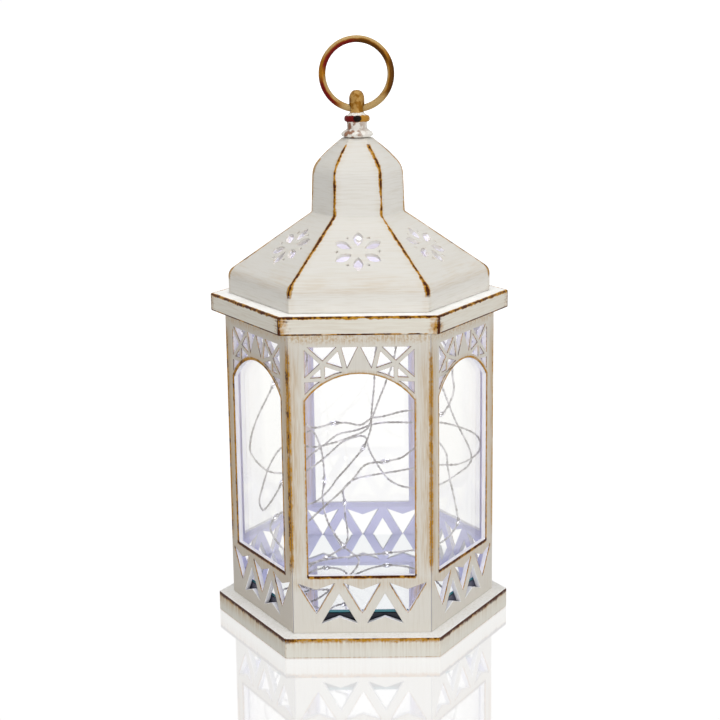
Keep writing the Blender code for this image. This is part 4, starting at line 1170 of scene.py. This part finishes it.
# %% Ring
RING_WIRE = 0.0016
WIRE_SIDES = 20
RING_STEPS = 96
turns = [math.tau * step / WIRE_SIDES for step in range(WIRE_SIDES)]
wire_circle = [
    (RING_RADIUS + RING_WIRE * math.cos(turn), RING_WIRE * math.sin(turn), RING_CENTRE) for turn in turns
]
ring_shape = spun(
    wire_circle, axis=(0.0, 1.0, 0.0), centre=(0.0, 0.0, RING_CENTRE), steps=RING_STEPS, closed=True,
)
ring = finished("ring_wire", ring_shape, ring_paint, "ring", "bronze", "ring_handle")
print("ring faces:", len(ring.data.polygons))

# %% [markdown]
# ## Panes and mirror
#
# Clear plastic panes stand behind the walls. From the front they're almost unseen, and towards the
# side they reflect the room, so the turn of the face drives how solid they look. The
# mirror is a silvered sheet with a cut edge that shows the green of the sheet.


# %% Clear panes
PANE_TINT = (0.86, 0.85, 0.80, 1.0)


def make_clear():
    """A pane that is open from the front and reflects more the further it turns away."""
    material, tree, shader = new_material("clear_pane")
    place = object_place(tree)
    turned = node(tree, "LayerWeight")
    feed(tree, turned, Blend=0.5)
    grazing = maths(tree, "POWER", turned.outputs["Facing"], 4.0)
    haze = times(tree, noise(tree, place, 35.0, 2.0, offset=0.4), 0.12)
    feed(
        tree, shader, Base_Color=PANE_TINT, Metallic=1.0,
        Roughness=times(tree, noise(tree, place, 60.0, 2.0), 0.05),
        Alpha=maths(tree, "MULTIPLY_ADD", grazing, 0.9, haze),
    )
    return material


def wear(node_name, material):
    """Gives a carried-over solid its material."""
    slots = NODES[node_name].material_slots
    if not slots:
        NODES[node_name].data.materials.append(material)
    for slot in NODES[node_name].material_slots:
        slot.material = material


clear = make_clear()
for number in range(1, SIDES + 1):
    wear(f"window_pane_{number}", clear)
print("panes:", SIDES)

# %% Mirror
MIRROR_ROUND = 0.0002
SILVER = (0.86, 0.88, 0.90, 1.0)
SHEET_GREEN = (0.045, 0.21, 0.25, 1.0)


def make_silver():
    """Silvered sheet: bright on top, green at its cut edge."""
    material, tree, shader = new_material("silvered_sheet")
    facing = axes_of(tree, node(tree, "NewGeometry").outputs["Normal"])
    top = ramp(tree, facing["Z"], 0.3, 0.6)
    smear = ramp(tree, noise(tree, object_place(tree), 60.0), 0.5, 0.8)
    feed(
        tree, shader, Base_Color=blend_colours(tree, top, SHEET_GREEN, SILVER), Metallic=top,
        Roughness=times(tree, smear, 0.03),
    )
    return material


mirror_shape = merged_copy("mirror_floor")
bevel_edges(mirror_shape, sharp_edges(mirror_shape), MIRROR_ROUND, segments=1)
mirror = finished("mirror", mirror_shape, make_silver(), "lantern", "mirror", "mirror_floor")
weigh_normals(mirror)
print("mirror faces:", len(mirror.data.polygons))

# %% [markdown]
# ## The light string
#
# Micro lights hang on a pair of thin lacquered wires, twisted together, and each light is a tiny chip
# in a drop of clear resin. The string is loosely tangled, so its route is a list of points read
# along it, in millimetres, joined by a smooth curve. Beside each length stand the numbers of its
# points that carry a light. Two strands turn round the curve, half a turn apart, and each drop is an
# outline spun round the curve's direction.

# %% Route of the string
ROUTE_1 = (
    (-28, -26, 21.4), (-28, -25, 25), (-24, -18, 29), (-6, 4, 25), (12, 14, 23), (30, 12, 26),
    (40, 4, 33), (46, -4, 45), (45.5, -4, 50), (41, -6, 73), (40, -9, 81), (35, -11, 87.5),
    (25, -12, 84), (19, -13, 80), (11, -14, 78.5), (2, -16, 77.5), (-3.5, -19, 72), (-9.5, -22, 66.5),
    (-15, -24, 62), (-23, -22, 54), (-29, -14, 44.5), (-29, -4, 28),
)
ROUTE_2 = (
    (-29.5, -3, 28), (-38, 1, 30), (-44.5, 2, 41), (-42, 2, 46), (-34.5, 0, 51.5), (-22.5, -2, 55),
    (-14.5, -4, 63), (-12, -5, 67), (-7, -6, 73), (-3.5, -7, 77.5), (1, -8, 83.5), (4.5, -8, 92),
    (5, -8, 98.5), (5.5, -8, 104.5), (6.5, -8, 114), (7, -9, 128), (9, -10, 137), (13, -13, 141),
    (16.5, -17, 137), (15.5, -18, 128), (12, -17, 118),
)
ROUTE_3 = (
    (11.8, -17, 117.2), (8.5, -16, 108.5), (5.5, -15, 100.5), (3, -14, 94.5), (-3.5, -12, 90.5),
    (-13, -13, 87.5), (-23, -11, 85), (-31, -5, 85), (-38, -1, 82), (-44, 1, 72.5), (-48, 2, 60.5),
    (-49.5, 3, 53.5), (-48, 6, 48.5), (-44, 8, 52.5), (-38.5, 8, 62), (-30.5, 8, 77), (-27.5, 8, 86),
    (-23.5, 8, 87.5), (-20, 7, 81), (-18.5, 7, 73), (-18, 6, 63), (-19, 6, 56), (-17, 4, 44),
    (-9, -8, 35), (-1.5, -24, 33.5), (-4.5, -34, 31), (-14, -40, 25),
)
ROUTE_4 = (
    (-15, -40, 25), (-24, -36, 24), (-34, -24, 24), (-33, -8, 23), (-18, 10, 22.5), (-8, 16, 28),
    (-8.5, 14, 44.5), (-8.5, 12, 50), (-9, 8, 58), (-4, 4, 64), (5.5, 2, 67), (16.5, 1, 69),
    (22, 1, 70), (30, 1, 71), (38, 1, 72), (46.5, 2, 72), (53.5, 1.5, 75.5), (56.5, 0.5, 79.5),
    (56.5, 0, 84.5), (53.5, 0, 88), (42, 0, 92.5), (33, -1, 94), (24, -2, 94), (16.5, -3, 94.5),
    (7.5, -3, 94), (-2.5, -4, 91), (-11, -4, 89), (-18, -6, 84), (-23, -8, 81), (-29.5, -12, 76),
    (-37.5, -13, 73), (-45, -12, 74.5), (-52, -9, 82), (-52, -8, 88), (-49, -6, 97.5),
    (-41, -2, 113.5), (-37, 2, 124), (-30, 6, 131), (-25, 4, 126),
)
ROUTE_5 = (
    (-25, 3, 125.2), (-26, -2, 116), (-28, -14, 108), (-27, -20, 101), (-22, -22, 97.5),
    (-12, -20, 99), (-6, -20, 99), (0, -20, 98), (5, -20, 101), (10.5, -20, 102),
    (21.5, -18, 104), (29.5, -15, 102), (37.5, -12, 100.5), (42.5, -8, 106.5), (44, -5, 111.5),
    (43.5, -2, 116), (43, 4, 125), (36, 10, 134), (30, 16, 128), (38, 18, 110), (45, 15, 92),
    (53, 6, 73), (46, 8, 65), (39, 8, 60.5), (31, 7, 58.5), (20, 7, 59.5), (13, 6, 63.5),
    (7.5, 4, 72), (4, 3, 79), (1.5, 3, 86), (-8.5, 3, 83.5), (-16, 3, 77), (-22.5, 4, 71.5),
    (-29.5, 6, 66.5), (-33, 14, 60),
)
STRING_ROUTES = (
    (ROUTE_1, (4, 7, 14, 20)),
    (ROUTE_2, (3, 10, 16)),
    (ROUTE_3, (7, 14, 20, 23)),
    (ROUTE_4, (4, 7, 13, 29, 35)),
    (ROUTE_5, (5, 12, 17, 24, 34)),
)
print("lights:", sum(len(lights) for _, lights in STRING_ROUTES))


# %% Smooth curve through the points
def speeds_along(knots):
    """The direction and pace of a smooth curve at each of its points, from the ones beside it."""
    run = [2 * knots[0] - knots[1]] + knots + [2 * knots[-1] - knots[-2]]
    speeds = []
    for before, here, after in zip(run, run[1:], run[2:]):
        first = math.sqrt((here - before).length)
        second = math.sqrt((after - here).length)
        speed = (here - before) / first + (after - here) / second
        speeds.append(speed - (after - before) / (first + second))
    return speeds


def smooth_path(knots, step):
    """Points about a step apart along a smooth curve through the knots."""
    speeds = speeds_along(knots)
    path = [knots[0].copy()]
    for knot, after, leaving, arriving in zip(knots, knots[1:], speeds, speeds[1:]):
        chord = (after - knot).length
        reach = math.sqrt(chord) / 3
        steps = max(2, round(chord / step))
        pulls = (knot + leaving * reach, after - arriving * reach)
        path.extend(interpolate_bezier(knot, *pulls, after, steps + 1)[1:])
    return path


def frames_along(path):
    """Direction and two level axes at each point, turned as little as possible from one to the next."""
    side = Vector((0.0, 0.0, 1.0)).cross(path[1] - path[0])
    if side.length < 0.000001:
        side = Vector((1.0, 0.0, 0.0))
    frames = []
    for number, point in enumerate(path):
        ahead = path[min(number + 1, len(path) - 1)]
        behind = path[max(number - 1, 0)]
        way = (ahead - behind).normalized()
        side = (side - way * side.dot(way)).normalized()
        frames.append((point, way, side, way.cross(side)))
    return frames


chains = [[Vector(point) * MM for point in route] for route, _ in STRING_ROUTES]
print("points in each length:", [len(chain) for chain in chains])

# %% Twisted strands
STRAND_RADIUS = 0.00026
STRAND_OFFSET = 0.00031
TWIST_PITCH = 0.0042
STRAND_STEP = 0.00055
WIRE_DULL = (0.30, 0.275, 0.26, 1.0)
WIRE_BRIGHT = (0.70, 0.68, 0.67, 1.0)
GROMMET_ENTRY_MM = (-28, -26, 20.6)


def make_wire_silver():
    """Lacquered copper-silver wire: grey, with duller and brighter lengths."""
    material, tree, shader = new_material("wire_silver")
    patch = noise(tree, object_place(tree), 260.0, 2.0)
    colour = blend_colours(tree, ramp(tree, patch, 0.35, 0.65), WIRE_DULL, WIRE_BRIGHT)
    feed(tree, shader, Base_Color=colour, Roughness=plus(tree, times(tree, patch, 0.3), 0.18), Metallic=0.5)
    return material


def make_strands(name, path, material, *nodes):
    """Two thin wires that turn round a path."""
    curve = bpy.data.curves.new(name, "CURVE")
    curve.dimensions = "3D"
    curve.bevel_depth = STRAND_RADIUS
    curve.bevel_resolution = 1
    curve.use_fill_caps = True
    frames = frames_along(path)
    for half in (0.0, math.pi):
        spline = curve.splines.new("POLY")
        spline.points.add(len(frames) - 1)
        run = 0.0
        last = path[0]
        for target, (point, _, side, up) in zip(spline.points, frames):
            run += (point - last).length
            last = point
            turn = math.tau * run / TWIST_PITCH + half
            place = point + (side * math.cos(turn) + up * math.sin(turn)) * STRAND_OFFSET
            target.co = (*place, 1.0)
    curve.materials.append(material)
    piece = add_object(name, curve)
    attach(piece, "lantern")
    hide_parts(*nodes)
    return piece


wire_silver = make_wire_silver()
paths = []
for number, chain in enumerate(chains):
    before = [Vector(GROMMET_ENTRY_MM) * MM] if number == 0 else []
    after = [chains[number + 1][0]] if number + 1 < len(chains) else []
    paths.append(smooth_path(before + chain + after, STRAND_STEP))
    make_strands(f"string_{number + 1}", paths[-1], wire_silver, f"fairy_wire_{number + 1}")
length = sum((b - a).length for path in paths for a, b in zip(path, path[1:]))
print("string length in metres:", round(length, 3))

# %% Resin drops and their chips
DROP_MM = (
    (-3.0, 0.0), (-2.9, 0.42), (-2.3, 0.8), (-1.4, 1.2), (-0.3, 1.4),
    (0.8, 1.32), (1.8, 1.0), (2.6, 0.66), (2.95, 0.4), (3.0, 0.0),
)
DROP_SIZES = (0.84, 0.96)
DROP_STEPS = 20
CHIP_MM = (1.1, 0.7, 0.45)
CHIP_ROUND = 0.0001
SHUFFLE_SEED = 7


def turned_to(way, point, roll):
    """A transform that lays the X axis along a direction at a point."""
    turn = way.to_track_quat("X", "Z").to_matrix().to_4x4()
    return Matrix.Translation(point) @ turn @ Matrix.Rotation(roll, 4, "X")


def add_shape(whole, part):
    """Joins a shape to another, through a mesh that is then thrown away."""
    mesh = mesh_from("passing", part)
    whole.from_mesh(mesh)
    bpy.data.meshes.remove(mesh)


def make_drop(size):
    """A resin drop: its outline in millimetres, spun round the wire."""
    outline = [(x * MM * size, 0.0, r * MM * size) for x, r in DROP_MM]
    return spun(outline, axis=(1.0, 0.0, 0.0), steps=DROP_STEPS)


def make_chip():
    """The light itself, a small block with round edges."""
    chip = bmesh.new()
    bmesh.ops.create_cube(chip, size=MM)
    bmesh.ops.scale(chip, verts=chip.verts, vec=CHIP_MM)
    bevel_edges(chip, chip.edges[:], CHIP_ROUND)
    return chip


drops = bmesh.new()
chips = bmesh.new()
shuffle = random.Random(SHUFFLE_SEED)
for (_, lights), chain in zip(STRING_ROUTES, chains):
    speeds = speeds_along(chain)
    for light in lights:
        lay = turned_to(speeds[light].normalized(), chain[light], shuffle.uniform(0.0, math.tau))
        for whole, part in ((drops, make_drop(shuffle.uniform(*DROP_SIZES))), (chips, make_chip())):
            part.transform(lay)
            add_shape(whole, part)
print("faces of the drops and chips:", len(drops.faces), len(chips.faces))

# %% Resin and light
RESIN_CLEAR = (0.97, 0.97, 1.0, 1.0)
CHIP_YELLOW = (0.9, 0.9, 0.8, 1.0)
GLOW_COLD = (0.85, 0.86, 1.0, 1.0)
GLOW_STRENGTH = 1.6


def make_resin():
    """Clear resin, a little uneven."""
    material, tree, shader = new_material("clear_resin")
    unevenness = times(tree, noise(tree, object_place(tree), 700.0), 0.12)
    feed(tree, shader, Base_Color=RESIN_CLEAR, Roughness=unevenness, Transmission_Weight=1.0, IOR=1.46)
    return material


def make_glow():
    """A cold white light, not quite even."""
    material, tree, shader = new_material("light_chip")
    glow = blend_colours(tree, noise(tree, object_place(tree), 900.0, 1.0), GLOW_COLD, WHITE)
    feed(tree, shader, Base_Color=CHIP_YELLOW, Emission_Color=glow, Emission_Strength=GLOW_STRENGTH)
    return material


finished("resin_drops", drops, make_resin(), "lantern", "wire_silver")
finished("light_chips", chips, make_glow(), "lantern", "wire_silver")
print("lights:", sum(len(lights) for _, lights in STRING_ROUTES))

# %% [markdown]
# ## Inner pieces and the underside
#
# The battery base is seen only from below. Its moulded pieces are matt black plastic with a fine
# grain, the metal ones are nickel plated, and the cells have a plain sleeve. Most of these solids
# are used as they are, since nothing shows of them but a face or two, and only get a material.

# %% Plain materials
GRAIN_DETAIL = 3.0
GRAIN_RELIEF = 0.0001


def grained(name, colour, second, scale, rough, metallic=0.0, specular=0.5):
    """A material of two close colours in a fine grain."""
    material, tree, shader = new_material(name)
    grain = noise(tree, object_place(tree), scale, GRAIN_DETAIL)
    feed(
        tree, shader, Metallic=metallic, Specular_IOR_Level=specular,
        Base_Color=blend_colours(tree, ramp(tree, grain, 0.35, 0.65), (*colour, 1.0), (*second, 1.0)),
        Roughness=plus(tree, times(tree, grain, 0.25), rough - 0.12),
        Normal=bump(tree, grain, 0.15, GRAIN_RELIEF),
    )
    return material


black = grained("black_plastic", (0.012, 0.013, 0.018), (0.020, 0.021, 0.027), 3200.0, 0.5, specular=0.2)
nickel = grained("nickel_plate", (0.55, 0.54, 0.51), (0.68, 0.67, 0.64), 1500.0, 0.3, 0.9)
board = grained("circuit_board", (0.02, 0.17, 0.06), (0.05, 0.27, 0.11), 900.0, 0.4)
rubber = grained("white_rubber", (0.70, 0.70, 0.72), (0.78, 0.78, 0.80), 1400.0, 0.6)
red = grained("red_lead", (0.42, 0.03, 0.02), (0.48, 0.05, 0.03), 1600.0, 0.45)
print("plain materials:", [material.name for material in (black, nickel, board, rubber, red)])

# %% Tray, and the solids that are used as they are
TRAY_BLACK = (0.014, 0.016, 0.026, 1.0)
# Bluish grey for the tray's sides: painted light of the glow inside.
TRAY_PAINTED_GLOW = (0.16, 0.16, 0.22, 1.0)
TRAY_GLOW_FROM = 0.028
TRAY_GLOW_TO = 0.046


def make_tray():
    """Black plastic, painted lighter and bluish towards the sides: painted light of the glow inside."""
    material, tree, shader = new_material("tray_black")
    place = object_place(tree)
    outward = ramp(tree, maths(tree, "ABSOLUTE", axes_of(tree, place)["X"]), TRAY_GLOW_FROM, TRAY_GLOW_TO)
    grain = noise(tree, place, 2600.0, GRAIN_DETAIL)
    # Bluish towards the sides, with the grain: painted light of the glow inside.
    dust = times(tree, outward, maths(tree, "MULTIPLY_ADD", grain, 0.5, 0.5))
    feed(
        tree, shader, Base_Color=blend_colours(tree, dust, TRAY_BLACK, TRAY_PAINTED_GLOW),
        Roughness=maths(tree, "MULTIPLY_ADD", grain, 0.25, 0.25), Specular_IOR_Level=0.3,
        Normal=bump(tree, grain, 0.15, GRAIN_RELIEF),
    )
    return material


PLAIN_PIECES = {
    "floor_tray": make_tray(), "battery_box": black, "wire_grommet": rubber, "switch_body": nickel,
    "finial_nut": nickel, "timer_board": board, "battery_lead_1": red, "battery_lead_2": black,
    "lead_wire": wire_silver,
}
PLAIN_PIECES.update({f"battery_contact_{number}": nickel for number in range(1, 5)})
for node_name, material in PLAIN_PIECES.items():
    wear(node_name, material)
print("solids with a material of their own:", len(PLAIN_PIECES))

# %% [markdown]
# ### Cells
#
# Three slim cells lie side by side. Each is a steel can in a shrunk sleeve, bare at its ends, and the
# middle one is turned round, so that they work one after the other. The solids stay as they are: the
# sleeve's edge and its pale band at the plus end are a matter of colour, so one rule along X is enough.

# %% Cells
CELLS = 3
CELL_HALF = 0.0222
BAND_SHARE = 0.12
SLEEVE_GREY = (0.085, 0.10, 0.13, 1.0)
SLEEVE_PALE = (0.42, 0.43, 0.44, 1.0)
SCUFFED = (0.4, 0.4, 0.4, 1.0)
CELL_METAL = (0.66, 0.65, 0.62, 1.0)


def make_cell(name, plus_side):
    """A grey sleeve with a pale band towards its plus side, and bare metal at both ends."""
    material, tree, shader = new_material(name)
    place = object_place(tree)
    along = times(tree, axes_of(tree, place)["X"], plus_side / CELL_HALF)
    pale = above(tree, along, 1.0 - 2.0 * BAND_SHARE, 0.01)
    bare = ramp(tree, maths(tree, "ABSOLUTE", along), 0.955, 0.965)
    scuff = ramp(tree, noise(tree, place, 700.0, stretch=(0.2, 1.0, 1.0)), 0.55, 0.75)
    sleeve = blend_colours(tree, pale, SLEEVE_GREY, SLEEVE_PALE)
    sleeve = blend_colours(tree, times(tree, scuff, 0.2), sleeve, SCUFFED)
    feed(
        tree, shader, Base_Color=blend_colours(tree, bare, sleeve, CELL_METAL),
        Metallic=most(tree, bare, times(tree, pale, 0.5)),
        Roughness=maths(tree, "MULTIPLY_ADD", scuff, 0.2, 0.28),
    )
    return material


for number in range(1, CELLS + 1):
    wear(f"battery_{number}", make_cell(f"cell_{number}", 1.0 if number % 2 else -1.0))
print("cells:", CELLS)

# %% [markdown]
# ### Cover, door and switch
#
# The cover closes the base from below. Its door swings down for the cells, and a few ribs give a
# finger some grip on it. The knob of the switch stands in its slot. All three are copies of their
# solids with small rounds, and the ribs are blocks of their own that move with the door.

# %% Cover, door and knob
SOFT_EDGE = 0.0002
MOULDED_ANGLE = math.radians(40.0)
RIBS = 5
RIB_SIZE = (0.0140, 0.0009, 0.0006)
RIB_ROUND = 0.00015
RIB_PITCH = 0.0020
RIB_FIRST_Y = -0.0040
COVER_UNDER = 0.0020


def softened(name, node_name, body):
    """A copy of a moulded solid with small rounds on its sharp edges."""
    shape = merged_copy(node_name)
    bevel_edges(shape, sharp_edges(shape, MOULDED_ANGLE), SOFT_EDGE)
    return weigh_normals(finished(name, shape, black, body, "black_plastic", node_name))


def block(size, centre, edge):
    """A box with round edges."""
    shape = bmesh.new()
    bmesh.ops.create_cube(shape, size=1.0)
    bmesh.ops.scale(shape, verts=shape.verts, vec=size)
    bevel_edges(shape, shape.edges[:], edge)
    bmesh.ops.translate(shape, verts=shape.verts, vec=centre)
    return shape


softened("cover", "base_cover", "lantern")
softened("door", "battery_door", "door")
softened("knob", "switch_knob", "knob")
ribs = bmesh.new()
for number in range(RIBS):
    add_shape(ribs, block(RIB_SIZE, (0.0, RIB_FIRST_Y + RIB_PITCH * number, COVER_UNDER), RIB_ROUND))
finished("door_ribs", ribs, black, "door", "black_plastic")
print("cover, door and knob dressed; ribs on the door:", RIBS)

# %% [markdown]
# ### Screws
#
# Three pan-head screws hold the cover. A screw is turned, so its outline is spun, and the recess
# for the driver is pressed in, so a cross-shaped prism is taken out of its head.

# %% Screws
SCREWS = 3
SCREW_STEPS = 32
SCREW_OUTLINE_MM = (
    (0.0, 11.0), (0.55, 11.0), (1.1, 9.9), (1.1, 1.7), (2.2, 1.7),
    (2.2, 1.25), (2.08, 0.86), (1.76, 0.56), (1.1, 0.36), (0.0, 0.3),
)
CROSS_REACH = 0.00125
CROSS_HALF = 0.00026
CROSS_DEPTH = 0.0008


def cross_cutter():
    """A cross-shaped prism for a screw's recess."""
    shape = bmesh.new()
    corners = []
    for quarter in range(4):
        turn = Matrix.Rotation(math.radians(90.0 * quarter), 3, "Z")
        for x, y in ((CROSS_REACH, -CROSS_HALF), (CROSS_REACH, CROSS_HALF), (CROSS_HALF, CROSS_HALF)):
            corners.append(shape.verts.new(turn @ Vector((x, y, -CROSS_DEPTH))))
    shape.faces.new(corners)
    grown = bmesh.ops.extrude_face_region(shape, geom=shape.faces[:])
    top = [item for item in grown["geom"] if isinstance(item, bmesh.types.BMVert)]
    bmesh.ops.translate(shape, verts=top, vec=(0.0, 0.0, 2 * CROSS_DEPTH))
    bmesh.ops.recalc_face_normals(shape, faces=shape.faces)
    return shape


def screw_place(node_name):
    """The middle of a screw in plan, and how low its head reaches."""
    corners = [vertex.co for vertex in NODES[node_name].data.vertices]
    middle = [(min(c[axis] for c in corners) + max(c[axis] for c in corners)) / 2 for axis in (0, 1)]
    return middle, min(c.z for c in corners)


screw_outline = [(radius * MM, 0.0, height * MM) for radius, height in SCREW_OUTLINE_MM]
for number in range(1, SCREWS + 1):
    node_name = f"cover_screw_{number}"
    middle, under = screw_place(node_name)
    shape = spun(screw_outline, steps=SCREW_STEPS)
    bmesh.ops.translate(shape, verts=shape.verts, vec=(*middle, 0.0))
    screw = finished(f"screw_{number}", shape, nickel, "lantern", "nickel", node_name)
    cutter = cross_cutter()
    bmesh.ops.translate(cutter, verts=cutter.verts, vec=(*middle, under))
    cut_away(screw, cutter)
print("screws:", SCREWS)

# %% [markdown]
# ### Words beside the switch
#
# The cover has OFF and ON moulded beside the switch, a tenth of a millimetre high. They are set as
# text, made a mesh, and turned over, because they are read from below.

# %% Words beside the switch
WORD_SIZE = 0.0034
WORD_RELIEF = 0.0001
SWITCH_FRONT = -0.0300
WORDS = (("OFF", -0.0082), ("ON", 0.0078))


def raised_word(word, x):
    """A short word on the cover, to be read from below."""
    letters = bpy.data.curves.new(f"word_{word.lower()}", "FONT")
    letters.body = word
    letters.size = WORD_SIZE
    letters.extrude = WORD_RELIEF
    letters.align_x = "CENTER"
    letters.align_y = "CENTER"
    writing = add_object(letters.name, letters)
    mesh = mesh_as_shown(writing)
    bpy.data.objects.remove(writing)
    shape = bmesh.new()
    shape.from_mesh(mesh)
    bpy.data.meshes.remove(mesh)
    shape.transform(Matrix.Translation((x, SWITCH_FRONT, COVER_UNDER)) @ Matrix.Rotation(math.pi, 4, "Y"))
    return shape


words = bmesh.new()
for word, x in WORDS:
    add_shape(words, raised_word(word, x))
print("faces of the words:", len(words.faces))
finished("switch_words", words, black, "lantern", "black_plastic")

# %% [markdown]
# ## Light inside
#
# The string's own light and the white room reach the inner faces, which look bluish beside the cream
# outside. A few weak lamps inside give that, and the lilac tint on the inner faces' paint is painted
# light of the same glow. The lamps are hidden from the camera and from reflections.

# %% Inner lamps
INNER_LAMP_RADIUS = 0.012
INNER_LAMPS = (
    ("glow_low", (0.0, 0.0, 0.055), 0.034, (0.62, 0.64, 1.0)),
    ("glow_high", (0.0, 0.0, 0.115), 0.028, (0.62, 0.64, 1.0)),
    ("glow_roof", (0.0, 0.0, 0.172), 0.038, (0.96, 0.91, 1.0)),
)
for name, place, watts, colour in INNER_LAMPS:
    data = bpy.data.lights.new(name, "POINT")
    data.energy = watts
    data.color = colour
    data.shadow_soft_size = INNER_LAMP_RADIUS
    lamp = add_object(name, data)
    lamp.location = place
    lamp.visible_camera = False
    lamp.visible_glossy = False
print("inner lamps:", len(INNER_LAMPS))

# %% [markdown]
# ## Sizes
#
# The dressed lantern has to stay inside the imported solids, so how far its box grew beyond theirs is
# worked out and printed.

# %% Measure the boxes
dressed_box = [list(corner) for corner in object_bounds()]
grew = [[round((b - a) / MM, 2) for a, b in zip(one, two)] for one, two in zip(cad_box, dressed_box)]
print("grew by mm:", grew)
